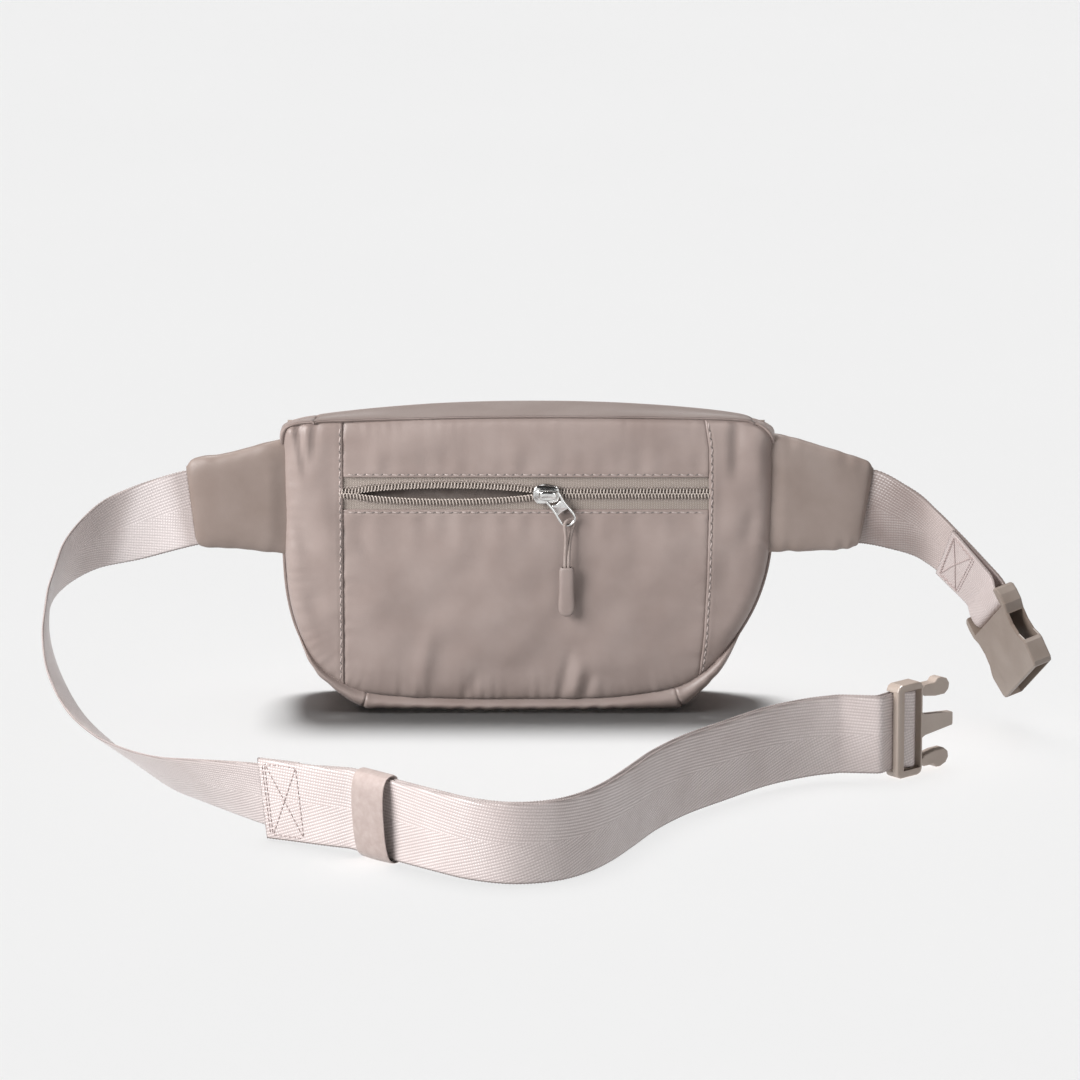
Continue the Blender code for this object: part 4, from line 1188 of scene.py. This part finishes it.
def build_front():
    """The front's two panels, and the topstitching of their zip lips."""
    low, high = MAIN_ZIP_HEIGHT - ZIP_HALF_WINDOW, MAIN_ZIP_HEIGHT + ZIP_HALF_WINDOW
    low_left, low_right = FRONT_LOW_CORNERS
    right = along_outline(FRONT_OUTLINE, low_right, (121.5, low))
    left = along_outline(FRONT_OUTLINE, (-119.3, low), low_left)[::-1]
    left[-1, 1] = right[-1, 1] = low
    bottom = along_outline(FRONT_OUTLINE, low_left, low_right)
    lower = build_panel("front_panel_lower", (bottom, level(left[-1, 0], right[-1, 0], low), left, right),
                        ("seam", "lip", "seam", "seam"), False, 71, FRONT_STEP)
    top_left, top_right = FRONT_TOP_CORNERS
    right = along_outline(FRONT_OUTLINE, (121.5, high), top_right)
    left = along_outline(FRONT_OUTLINE, top_left, (-118.9, high))[::-1]
    left[0, 1] = right[0, 1] = high
    top = along_outline(FRONT_OUTLINE, top_right, top_left)[::-1]
    upper = build_panel("front_panel_upper", (level(left[0, 0], right[0, 0], high), top, left, right),
                        ("lip", "seam", "seam", "seam"), False, 81, FRONT_STEP)
    for key, surface, row in (("front_lower", lower, -1), ("front_upper", upper, 0)):
        sewn_row(key, topstitch_line(surface, row=row)[4:-4], Y_AXIS)


GUSSET_NAMES = ("bottom", "right", "top", "left")
GUSSET_THICKNESS = 0.8
CORNER_REACH = (3.2, 5.8)
GROUND_GAP = 0.6
BAG_CENTRE = np.array([0.0, 0.0, 75.0])


def gusset_crown(down):
    """How far a gusset stands out of its seams, more where it faces down."""
    return 2.7 + 3.3 * down ** 2


def gusset_section(down, up, side, reach):
    """Section from back seam to front seam as (depth y, offset outwards)."""
    crown = gusset_crown(down) - 1.7 * up + reach

    def edge(seam, roll):
        top = crown * (1 - roll) + 1.1 * roll
        belly = (0.9 + 1.7 * down - 0.5 * up) * (1 - roll)
        return [(seam + 0.9, -0.7), (seam + 0.1, 0.05), (seam - 0.6 * belly, 0.16 * top),
                (seam - belly, 0.42 * top), (seam - 0.55 * belly, 0.7 * top),
                (seam + 2.2, 0.92 * top), (-12.0 + 1.5 * roll, top)]

    back = edge(BACK_SEAM_Y + SIDE_ROLL * side, side)
    front = [(-y, offset) for y, offset in reversed(edge(BACK_SEAM_Y, 0.35 * side))]
    return back + [(0.0, (back[-1][1] + front[0][1]) / 2 * 1.03)] + front


def gusset_row(number, place, out, where, gap):
    """One section of a gusset, at this distance from the nearer end of its run."""
    down = max(0.0, -out[1])
    reach = CORNER_REACH[0 if place[0] < 0 else 1] * math.exp(-gap / 15.0) * (down > 0.3)
    if GUSSET_NAMES[number] == "bottom":
        reach = max(0.0, (place[1] - GROUND_GAP) / down - gusset_crown(down))
    elif GUSSET_NAMES[number] == "left":
        reach -= 1.7 * down * (1 - math.exp(-gap / 12.0)) + 1.3 * float(bump(place[1] - 48, 17.0))
    section = gusset_section(down, max(0.0, out[1]), float(side_share(*place)), reach)
    y, offset = spline(section, 5).T
    gathers = float(puckers(np.array([where]), 91 + number, 9.0)[0])
    near_seams = np.exp(-(y + HALF_DEPTH) / 9.0) + np.exp((y - HALF_DEPTH) / 9.0)
    offset = offset + 0.2 * ramp(0.5, 3.0, offset) * gathers * near_seams
    offset = offset + 0.3 * float(np.clip(waves(where, 0.0, 7, 60.0), -1.6, 1.6)) * bump(y, 14.0)
    offset = offset - 0.8 * math.exp(-gap / 0.8) * ramp(-0.5, 1.0, offset)
    drop = 1.0 - (1.0 - FRONT_HEIGHT_RATIO) * (y + HALF_DEPTH) / (2 * HALF_DEPTH)
    height = place[1] * drop + out[1] * offset
    flattened = 0.8 * np.exp((height - 0.8) / 0.8) * 0.5 + 0.02
    return np.stack([place[0] + out[0] * offset, y, np.where(height < 0.8, flattened, height)], -1)


def build_gusset():
    """Four bands with joints at the runs' ends, flat where the bag stands."""
    count = len(OUTLINE)
    outwards = outward_of(OUTLINE)
    distance = lengths(np.vstack([OUTLINE, OUTLINE[:1]]))
    for number, (first, last) in enumerate(zip(RUN_STARTS, RUN_STARTS[1:] + [count])):
        name = GUSSET_NAMES[number]
        index = np.arange(first, last + 1)
        line = evenly(np.column_stack([OUTLINE[index % count], np.zeros(len(index)),
                                       outwards[index % count], distance[index]]), 1.6)
        points, out, where = line[:, :2], unit(line[:, 3:5]), line[:, 5]
        gaps = np.minimum(where - where[0], where[-1] - where)
        rows = [gusset_row(number, *station) for station in zip(points, out, where, gaps)]
        grid = droop(np.array(rows))
        grid[..., 2] = np.maximum(grid[..., 2], 0.05)
        across = lengths(grid[len(grid) // 2])
        cloth = np.stack(np.broadcast_arrays(across[None, :], where[:, None]), -1)
        # The top gusset takes the darker painted-shade copy of the satin
        cover = SHADED_TOP_SATIN if name == "top" else SATIN
        sheet_piece(name + "_gusset_cloth", grid, GUSSET_THICKNESS, unit(BAG_CENTRE - grid), cover,
                    "root", cloth, replaced=[name + "_gusset"], slot="satin_nylon")


build_back()
build_front()
build_gusset()


# -------------------------------------------------------------------- zips

TAPE_Y = -21.1
TAPE_HALF_WIDTH = 15.0
TAPE_THICKNESS = 0.45
COIL_PITCH = 1.63
COIL_WIRE = 0.345
COIL_OVERLAP = 0.25
COIL_HALF_DEPTH = 1.3
COIL_HALF_HEIGHT = 0.66
COIL_Y = -22.35
TURN_POINTS = 14
TAPE_STATIONS = 260
TAPE_ROWS = 14
CORE_STATIONS = 200
CORE_REACH = 1.2
CORE_Y = -22.3
TAPE_STITCH_REACH = 3.1


def loop_quads(rows, columns):
    """Faces of a grid joined both ways."""
    i, j = np.meshgrid(np.arange(rows), np.arange(columns), indexing="ij")
    a = i * columns + j
    b = i * columns + (j + 1) % columns
    c = (i + 1) % rows * columns + (j + 1) % columns
    d = (i + 1) % rows * columns + j
    return np.stack([a, b, c, d], axis=-1).reshape(-1, 4)


def ring_tube(points, radius, sides):
    """A closed loop of wire lying square to Y."""
    ahead = unit(np.roll(points, -1, 0) - np.roll(points, 1, 0))
    side = unit(np.cross(ahead, Y_AXIS))
    over = np.cross(side, ahead)
    turn = np.linspace(0, 2 * math.pi, sides, endpoint=False)[None, :, None]
    rings = points[:, None] + radius * (np.cos(turn) * side[:, None] + np.sin(turn) * over[:, None])
    return rings.reshape(-1, 3), loop_quads(len(points), sides)


def turned(vertices, front):
    """The same piece for the front of the bag: half a turn about Z."""
    vertices = np.asarray(vertices, float)
    return vertices * np.array([-1.0, -1.0, 1.0]) if front else vertices


def zip_edge(x, height, sign, opening):
    """Height of the inner edge of one row of teeth at x."""
    gap = np.zeros_like(x)
    if opening:
        share = np.clip((x - opening[0]) / (opening[1] - opening[0]), 0, 1)
        gap = ZIP_OPENING * np.sin(math.pi * share) ** 0.6
    return height + sign * (gap / 2 - 0.05)


def build_zip(prefix, height, half_length, opening, front):
    """Both tapes of a zip, each with its coil, core cord and stitches."""
    turns = int(2 * (half_length - 1.0) / COIL_PITCH)

    def add(part, mesh, material, **options):
        vertices, faces = mesh
        piece(f"{prefix}_zip_{part}", turned(vertices, front), faces, material, "root", **options)

    for row, sign in (("lower", -1), ("upper", 1)):
        x = np.linspace(-half_length, half_length, TAPE_STATIONS)
        inner = zip_edge(x, height, sign, opening)
        share = np.linspace(0, 1, TAPE_ROWS)[:, None]
        z = inner[None] * (1 - share) + (height + sign * TAPE_HALF_WIDTH) * share
        lift = -0.35 * bump(share - 0.22, 0.1) * np.ones_like(z)
        grid = turned(np.stack([np.broadcast_to(x, z.shape), TAPE_Y + lift, z], -1), front)
        cloth = np.stack([z, np.broadcast_to(x, z.shape)], -1)
        sheet_piece(f"{prefix}_zip_tape_{row}_cloth", grid, TAPE_THICKNESS, -Y_AXIS if front else Y_AXIS,
                    TAPE, "root", cloth, replaced=[f"{prefix}_zip_tape_{row}"], slot="zip_tape")

        phase = np.arange(turns * TURN_POINTS + 1) / TURN_POINTS
        angle = 2 * math.pi * phase
        along = -half_length + 1.0 + (phase + (0.25 if sign > 0 else -0.25)) * COIL_PITCH
        along = along + 0.16 * COIL_PITCH * np.sin(angle)
        reach = np.sign(np.cos(angle)) * np.abs(np.cos(angle)) ** 0.7
        edge = zip_edge(along, height, sign, opening) - sign * COIL_OVERLAP
        z = edge + sign * COIL_HALF_DEPTH * (1.0 - reach)
        wire = np.stack([along, COIL_Y - COIL_HALF_HEIGHT * np.sin(angle), z], -1)
        add(f"coil_{row}_turns", tube(wire, COIL_WIRE, 6, up=X_AXIS), COIL,
            replaced=[f"{prefix}_zip_coil_{row}"], slot="zip_coil")

        # Core cord inside the coil; its dark colour paints the shade between the teeth
        x = np.linspace(-half_length + 0.5, half_length - 0.5, CORE_STATIONS)
        z = zip_edge(x, height, sign, opening) + sign * CORE_REACH
        core = tube(np.stack([x, np.full(CORE_STATIONS, CORE_Y), z], -1), 0.5, 8)
        add(f"core_{row}", core, CORE_CORD_AND_SHADE, cloth=np.roll(core[0], 1, axis=1))

        parts = []
        for spot in -half_length + 1.4 + np.arange(turns) * COIL_PITCH:
            x = spot + np.linspace(-0.42, 0.42, 4)
            z = zip_edge(x, height, sign, opening) + sign * TAPE_STITCH_REACH
            parts.append(tube(np.stack([x, [-21.2, -21.75, -21.75, -21.2], z], -1), 0.2, 5))
        add(f"stitches_{row}", gather(parts), SATIN_THREAD)


def plate(outline, y_low, y_high, round_edge, bulge=0.0):
    """A closed plate with rounded edges from a plan outline of (x, z)."""
    centre = outline.mean(0)
    middle = (y_low + y_high) / 2
    half = abs(y_high - y_low) / 2
    out = outward_of(outline)
    rows = []
    for share in (0.0, 0.35, 0.7):
        ring = centre + (outline - out * round_edge - centre) * share
        rows.append((ring, half + bulge * (1 - share ** 2)))
    for a in np.radians(np.linspace(0, 90, 5)):
        rows.append((outline - out * round_edge * (1 - math.sin(a)), half - round_edge * (1 - math.cos(a))))
    front, back = ([np.stack([r[:, 0], np.full(len(r), middle + face * h), r[:, 1]], -1)
                    for r, h in rows[1:]] for face in (-1, 1))
    count = len(outline)
    loops = front + back[::-1]
    vertices = np.vstack([[[centre[0], middle - rows[0][1], centre[1]]]] + loops
                         + [[[centre[0], middle + rows[0][1], centre[1]]]])
    faces = [(0, 1 + (k + 1) % count, 1 + k) for k in range(count)]
    faces += (quads(len(loops), count, wrap=True) + 1).tolist()
    last = len(vertices) - 1
    start = last - count
    faces += [(last, start + k, start + (k + 1) % count) for k in range(count)]
    return vertices, faces


def bar(points, half_width, half_thick, across, power, sides=16):
    """A bar of rounded section swept along points; across is its width direction."""
    points = np.asarray(points, float)
    ahead = unit(np.gradient(points, axis=0))
    across = np.broadcast_to(np.asarray(across, float), points.shape)
    across = unit(across - ahead * (across * ahead).sum(1, keepdims=True))
    over = np.cross(ahead, across)
    t = np.linspace(0, 2 * math.pi, sides, endpoint=False)
    c, s = np.cos(t), np.sin(t)
    u = np.sign(c) * np.abs(c) ** (2 / power)
    v = np.sign(s) * np.abs(s) ** (2 / power)
    wide, thick = (np.broadcast_to(half, (len(points),))[:, None, None] for half in (half_width, half_thick))
    rings = (points[:, None] + wide * u[None, :, None] * across[:, None]
             + thick * v[None, :, None] * over[:, None])
    return rings.reshape(-1, 3), capped(len(points), sides)


PIVOT_X = 2.3
TAB_ANGLE = 35.0
TAB_MIDDLE = -25.75
CORD_BAR_REACH = 15.6
GRIP_MIDDLE = -28.6
GRIP_TOP = 35.8
CORD_RADIUS = 0.86


def mirrored(half):
    """A closed plan from one half, whose ends lie on its middle line."""
    return half + [(a, -b) for a, b in half[-2:0:-1]]


def slider_body(x, height):
    """Two plates, a dome, the bridge that the tab hangs on, a post and two rails."""
    plates = [(-6.5, 0), (-6.2, 2.2), (-4.6, 4.3), (-1.5, 4.6), (2.0, 4.4), (5.6, 3.5), (6.5, 2.2), (6.6, 0)]
    dome = [(-4.9, 0), (-3.6, 2.6), (0.4, 3.1), (4.6, 2.3), (5.6, 0)]
    plan, dome_plan = (spline([(x + a, height + b) for a, b in mirrored(half)], 4, closed=True)
                       for half in (plates, dome))
    arch = spline([(x + PIVOT_X + a, y, height) for a, y in (
        (-5.5, -24.9), (-5.5, -26.2), (-4.6, -27.2), (-2.6, -27.5), (0.4, -27.5), (2.2, -27.1),
        (2.9, -26.0), (2.9, -24.9))], 5)
    swell = bump(np.linspace(0, 1, len(arch)) - 0.42, 0.33)
    parts = [plate(plan, -25.0, -23.5, 0.65, 0.35), plate(plan, -20.6, -19.7, 0.4),
             plate(dome_plan, -25.4, -24.6, 0.4, 0.15),
             bar(arch, 1.25 + 0.95 * swell, 0.46, Z_AXIS, 2.6),
             bar([(x - 3.5, -24.4, height), (x - 3.5, -20.2, height)], 0.2, 1.0, Z_AXIS, 4.0)]
    for sign in (-1, 1):
        rail = spline([(x + a, y, height + sign * b) for a, y, b in (
            (-4.2, -24.0, 4.35), (-1.0, -22.9, 4.6), (2.4, -22.9, 4.3), (5.9, -24.0, 3.4))], 4)
        parts.append(bar(rail, 0.5, 0.75, Z_AXIS, 3.0, 10))
    return gather(parts)


def pull_tab(root, along, across):
    """A wire frame with an eye, a window, and a flat web between the two."""
    half = [(-0.1, 2.0), (0.4, 3.2), (2.0, 3.65), (6.0, 3.3), (10.0, 3.45), (13.5, 3.75), (15.8, 3.4),
            (17.2, 2.0), (17.65, 0.0)]
    loop = half + [(a, -b) for a, b in half[-2::-1]] + [(-0.35, 0.0)]
    wire = spline([root + along * a + across * b for a, b in loop], 4, closed=True)
    web = spline([(4.9, -3.0), (5.3, 0.0), (4.9, 3.0), (7.5, 3.05), (10.2, 3.15), (10.0, 0.0),
                  (10.2, -3.15), (7.5, -3.05)], 3, closed=True)
    web = (root + along * web[:, :1] + across * web[:, 1:])[:, ::2]
    return gather([ring_tube(wire, 0.7, 12), plate(web, TAB_MIDDLE - 0.34, TAB_MIDDLE + 0.34, 0.2, 0.05)])


def pull_cord(knot_x, knot_z, grip_x, top):
    """Cord from the grip through the tab's eye and back, and its cloth coordinates."""
    up_leg = [(-0.85, GRIP_MIDDLE, -0.6), (-0.8, -28.5, 3), (-0.7, -28.4, 7), (-0.4, -28.1, 14)]
    round_eye = [(-1.9, -27.9, -4.4), (-2.1, -27.6, -1.8), (-1.1, -26.9, -0.1), (0.4, -25.9, 0.5),
                 (2.0, -24.9, 0.3), (2.4, -24.7, -2.2), (1.5, -25.4, -5.4)]
    down_leg = [(1.6, -26.8, 13), (1.1, -28.1, 7), (0.95, -28.5, 3), (0.85, GRIP_MIDDLE, -0.6)]
    route = [(start_x + a, y, start_z + b) for start_x, start_z, leg in (
        (grip_x, top, up_leg), (knot_x, knot_z, round_eye), (grip_x, top, down_leg)) for a, y, b in leg]
    sides = 12
    line = evenly(spline(route, 8), 0.4)
    s = np.repeat(lengths(line), sides)
    girth = np.tile(np.arange(sides) * 2 * math.pi * CORD_RADIUS / sides, len(line))
    cloth = np.stack([girth + s * 0.6, s - girth, s * 0], -1)
    return tube(line, CORD_RADIUS, sides, up=np.array([0.3, 1.0, 0.1])), cloth


def pull_grip(grip_x, top):
    """Moulded grip, from a profile of (distance down, half width, half thickness)."""
    profile = np.array([
        (0.0, 2.2, 1.0), (0.02, 2.9, 1.55), (0.25, 3.3, 1.9), (0.8, 3.55, 2.05), (3, 3.7, 2.1),
        (8, 3.7, 2.1), (14, 3.85, 2.1), (19, 4.15, 2.1), (21.5, 4.05, 2.05), (23.2, 3.4, 1.9),
        (24.3, 2.3, 1.55), (24.85, 1.1, 1.0), (25.0, 0.25, 0.3)])
    rows = at(profile, np.linspace(0, lengths(profile)[-1], 46))
    points = np.stack([np.full(46, grip_x), np.full(46, GRIP_MIDDLE), top - rows[:, 0]], -1)
    return bar(points, rows[:, 1], rows[:, 2], X_AXIS, 2.9, 28)


def build_slider(prefix, x, height, front):
    """Slider, tab, cord and grip as they hang on the back; turned for the front."""
    def hang(node, ending, mesh, material, slot, body=None, cloth=None):
        vertices, faces = mesh
        piece(f"{prefix}_{node}_{ending}", turned(vertices, front), faces, material,
              f"{prefix}_{body or node}", replaced=[f"{prefix}_{node}"], slot=slot, cloth=cloth)

    angle = math.radians(TAB_ANGLE)
    along = np.array([math.sin(angle), 0.0, -math.cos(angle)])
    across = np.array([math.cos(angle), 0.0, math.sin(angle)])
    root = np.array([x + PIVOT_X, TAB_MIDDLE, height])
    knot = root + along * CORD_BAR_REACH
    grip_x = knot[0] - 1.1
    top = height - GRIP_TOP
    braid, cloth = pull_cord(knot[0], knot[2], grip_x, top)
    hang("slider", "metal", slider_body(x, height), NICKEL, "nickel")
    hang("pull_tab", "metal", pull_tab(root, along, across), NICKEL, "nickel")
    hang("pull_cord", "braid", braid, CORD, "pull_cord", body="pull_grip", cloth=cloth)
    hang("pull_grip", "rubber", pull_grip(grip_x, top), RUBBER, "grip_rubber")


build_zip("back", BACK_ZIP_HEIGHT, 92.5, BACK_ZIP_OPEN, False)
build_zip("main", MAIN_ZIP_HEIGHT, 118.5, None, True)
build_slider("back", BACK_SLIDER_X, BACK_ZIP_HEIGHT, False)
build_slider("main", -MAIN_SLIDER_X, MAIN_ZIP_HEIGHT, True)


# ------------------------------------------------------------------- wings

WING_MIDDLE_Y = -15.5
WING_HALF = 4.5
WING_TIP_HALF = 1.35
WING_SECTION_POINTS = 84
LEFT_TOP = [(-116.6, 138.8), (-128, 136.0), (-139, 132.9), (-150, 130.2), (-159.0, 129.2),
            (-164.2, 127.6), (-167.0, 124.2)]
LEFT_LOW = [(-116.6, 79.3), (-128, 80.6), (-139, 81.9), (-150, 82.6), (-158.0, 83.0),
            (-161.0, 83.8), (-162.6, 86.0)]
RIGHT_TOP = [(117.4, 141.3), (128, 139.6), (138, 136.7), (149, 133.3), (161, 129.4),
             (168, 126.8), (170.8, 123.2)]
RIGHT_LOW = [(117.4, 80.5), (128, 80.8), (138, 81.0), (149, 81.4), (158.4, 82.2),
             (163, 83.8), (164.7, 86.8)]
TIP_HEM = ((0.35, 0.985, 0.97), (0.1, 0.96, 0.8), (-0.8, 0.945, 0.72), (-3.0, 0.94, 0.72), (-6.0, 0.94, 0.72))


def build_wing(prefix, top, low, fold_x, seed):
    """Padded wing: a soft sock from the side seam to the tip, turned in round the strap.

    TIP_HEM holds (shift outwards, squeeze in height, share of thickness).
    """
    side = math.copysign(1, fold_x)
    upper = spline(top, 12)
    lower = spline(low, 12)
    around = WING_SECTION_POINTS
    t = np.linspace(0, 2 * math.pi, around, endpoint=False)
    c, s = np.cos(t), np.sin(t)
    up_share = np.sign(c) * np.abs(c) ** 0.62
    rings = []
    flat = []
    reach = lengths(upper)
    total = reach[-1]
    for high, deep, along in zip(upper, lower, reach):
        middle = (high + deep) / 2
        half = (high - deep) / 2
        thick = WING_TIP_HALF + (WING_HALF - WING_TIP_HALF) * (1 - math.exp((along - total) / 4.6)) ** 0.8
        thick *= 0.58 + 0.42 * float(ramp(0.0, 11.0, along)) + 0.05 * math.sin(along / total * math.pi)
        place = middle[None] + half[None] * up_share[:, None]
        edge = 1 - np.abs(up_share)
        depth = np.sign(s) * thick * (1 - np.abs(up_share) ** 5) ** 0.5
        depth = np.where(np.abs(s) < 1e-9, 0.0, depth)
        ripple = puckers(np.full(around, along), seed, 9.0) * bump(edge, 0.2)
        billow = waves(place[:, 0], place[:, 1] + 40 * np.sign(s), seed, 34.0)
        depth = depth * (1 + 0.07 * ripple + 0.035 * billow)
        z = place[:, 1] + np.where(up_share > 0, 0.1, 0.22) * ripple * np.sign(up_share)
        rings.append(np.stack([place[:, 0], WING_MIDDLE_Y + depth, z], -1))
        flat.append(np.stack([place[:, 0], z, np.sign(s)], -1))
    rings = np.array(rings)
    tip = rings[-1]
    centre = tip.mean(0)
    for shift, squeeze, thin in TIP_HEM:
        inner = centre + (tip - centre) * np.array([1.0, 1.0, squeeze])
        inner[:, 0] += side * shift
        inner[:, 1] = WING_MIDDLE_Y + (inner[:, 1] - WING_MIDDLE_Y) * thin
        rings = np.concatenate([rings, inner[None]])
        flat.append(flat[-1])
    faces = capped(len(rings), around)
    if side < 0:
        faces = [face[::-1] for face in faces]
    start, end = (((fold_x + side * reach) * MM, 0.0, 0.0) for reach in (-5.0, 4.0))
    body = ("root", prefix + "_wing", start, end)
    # The wings take the darker painted-shade copies of the satin
    cover = piece(prefix + "_wing_pad", rings.reshape(-1, 3), faces,
                  LEFT_WING_SHADED_SATIN if side < 0 else RIGHT_WING_SHADED_SATIN, body,
                  replaced=[prefix + "_wing_cover", prefix + "_wing_foam"], slot="satin_nylon",
                  cloth=np.array(flat).reshape(-1, 3))


build_wing("left", LEFT_TOP, LEFT_LOW, -127.8, 101)
build_wing("right", RIGHT_TOP, RIGHT_LOW, 129.8, 111)


# ------------------------------------------------- short strap and keeper

def short_strap_line():
    """The short strap from the wing round the female bar to its hem, and the turn."""
    bar_x, bar_r = FEMALE_BAR
    reach = bar_r + 0.45 + WEB_THICKNESS / 2
    axis = female_axes()[2]
    middle, across = rolled(RIGHT_ROUTE, 10)
    ahead = unit(np.gradient(middle, axis=0))
    over = unit(np.cross(across, ahead))
    spacing = (WEB_THICKNESS + 0.4) / 2
    hem = 10 * HEM_START + 6
    index = np.arange(len(middle))
    share = np.clip((index - hem + 20) / 20, 0, 1)[:, None]
    back = middle + over * spacing * share
    front = (middle - over * spacing)[hem:]
    neck = [(-7.0, 1.7), (-1.5, 2.8)]
    arc = [(bar_x + 1.4 * (a - bar_x), b) for a, b in arc_points((bar_x, 0.0), reach, 180)]
    turn = neck + arc + [(a, -b) for a, b in reversed(neck)]
    loop = np.array([female_point(a, b) for a, b in turn])
    points = np.vstack([back[:-6], loop, front[:-6][::-1]])
    wide = np.vstack([across[:-6], np.repeat(axis[None], len(loop), 0), across[hem:-6][::-1]])
    first = len(back) - 6
    last = first + len(loop)
    keys = np.r_[0:first:5, first:last, last:len(points):5, len(points) - 1]
    key = spline(np.hstack([points, wide])[keys], 5)
    return web_line(key[:, :3], key[:, 3:]), female_point(bar_x + 1.4 * reach, 0.0)


def build_short_strap():
    """The short strap: a darker copy of the webbing as painted shade, a painted highlight toward its hem, and
    a paler copy as painted light in the layer on top.
    """
    line, turn = short_strap_line()
    # The strap takes the darker painted-shade copy, and the layer on top the paler painted-light copy
    strap = web_piece("right_strap_web", line, "right_wing", ["right_strap"], SHADED_SHORT_WEBBING)
    strap.data.materials.append(LIT_FOLD_WEBBING)
    stations = lengths(line[0])
    total = stations[-1]
    turn_at = stations[int(np.argmin(np.linalg.norm(line[0] - turn, axis=1)))]
    near_hem = np.linalg.norm(line[0] - line[0][-1], axis=1) + 1000.0 * (stations > turn_at)
    hem_at = stations[int(np.argmin(near_hem))]
    # Painted highlight on the strap, rising towards the hem
    paint_web_light(strap, lambda across, along: ramp(hem_at - 24.0, hem_at - 3.0, along + 0.35 * across))
    cloth = strap.data.attributes["cloth"].data
    # Faces past the turn take the paler painted-light copy
    for face in strap.data.polygons:
        face.material_index = int(cloth[face.vertices[0]].vector[1] > turn_at)
    out = -np.sign(line[2][-6][1])
    rows = boxed_cross(total - 16.6, 14.4, 16.4)
    rows += boxed_cross(total - 15.9, 13.2, 15.4)[2:]
    web_stitches("right_strap_stitches", line, rows, "right_wing", float(out))


def build_keeper():
    """A flat ribbon loop round both layers of the strap, standing on the floor."""
    ahead = unit(np.array(DOUBLE_ROUTE[2], float) - np.array(DOUBLE_ROUTE[0]))[:2]
    ahead = np.append(unit(ahead), 0.0)
    away = np.cross(Z_AXIS, ahead)
    loop = [(3.3, 4.0), (3.45, 20.0), (3.2, 37.5), (2.2, 40.6), (-0.6, 41.3), (-4.2, 40.0),
            (-6.6, 35.5), (-7.5, 28.0), (-7.55, 20.0), (-7.1, 11.0), (-5.6, 4.0), (-2.6, 0.95),
            (0.8, 0.75), (2.8, 1.4)]
    curve = spline(loop, 8, closed=True)
    out = outward_of(curve)
    share = np.sin(np.linspace(-1, 1, 21) * math.pi / 2)
    half = 0.42 * (1 - 0.6 * np.abs(share) ** 20)
    section = two_faced(share, half)
    width = KEEPER_WIDTH / 2
    rings = []
    flat = []
    for (y, z), (ny, nz), s in zip(curve, out, lengths(curve)):
        lean = 0.07 * (z - 20.0)
        sag = 0.35 * np.cos(section[:, 0] * 1.4) * (y < -3)
        yy = y + ny * (section[:, 1] + sag)
        zz = z + nz * (section[:, 1] + sag)
        spots = (np.array([*KEEPER_PLACE, 0.0]) + ahead * (section[:, :1] * width - lean)
                 + away * yy[:, None] + Z_AXIS * zz[:, None])
        rings.append(spots)
        flat.append(np.stack([section[:, 0] * width, np.full(len(section), s), section[:, 1] * 0], -1))
    rings = np.array(rings)
    piece("strap_keeper_ribbon", rings.reshape(-1, 3), loop_quads(*rings.shape[:2]), RIBBON,
          "strap_keeper", replaced=["strap_keeper"], slot="keeper_ribbon",
          cloth=np.array(flat).reshape(-1, 3))


build_short_strap()
build_keeper()


# ------------------------------------------------------ linings and buckles

def build_lining(node, seed):
    """A lining with soft ripples, cut finer than its plain solid."""
    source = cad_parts[node]
    mesh = bmesh.new()
    mesh.from_mesh(source.data)
    mesh.transform(source.matrix_world)
    bmesh.ops.triangulate(mesh, faces=mesh.faces)
    for _ in range(5):
        long_edges = [edge for edge in mesh.edges if edge.calc_length() > 0.007]
        if not long_edges:
            break
        bmesh.ops.subdivide_edges(mesh, edges=long_edges, cuts=1, use_grid_fill=False)
        bmesh.ops.triangulate(mesh, faces=mesh.faces)
    mesh.normal_update()
    points = np.array([vertex.co[:] for vertex in mesh.verts]) / MM
    facing = np.array([vertex.normal[:] for vertex in mesh.verts])
    ripple = waves(points[:, 0], points[:, 2] + points[:, 1], seed, 22.0)
    moved = droop(points - facing * (0.1 + 0.06 * np.clip(ripple, -1.6, 1.6))[:, None])
    faces = [tuple(vertex.index for vertex in face.verts) for face in mesh.faces]
    mesh.free()
    cloth = np.stack([points[:, 0], points[:, 2], points[:, 1]], -1)
    piece(node + "_cloth", moved, faces, LINING, "root", replaced=[node], slot="lining", cloth=cloth)


def finish_buckle(node, material):
    """Moulded plastic with rounded edges."""
    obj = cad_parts[node]
    obj.data.materials.clear()
    obj.data.materials.append(material)
    bevel = obj.modifiers.new("rounded_edges", "BEVEL")
    bevel.width = 0.55 * MM
    bevel.segments = 3
    bevel.limit_method = "ANGLE"
    bevel.angle_limit = math.radians(28)


build_lining("back_pocket_lining", 121)
build_lining("main_lining", 131)
# The male buckle takes the paler painted-light copy, the socket the darker painted-shade copy
for buckle_node in MALE_NODES:
    finish_buckle(buckle_node, LIT_BUCKLE_PLASTIC)
finish_buckle("female_buckle", SHADED_SOCKET_PLASTIC)


light_bag(BAG_ONLY)
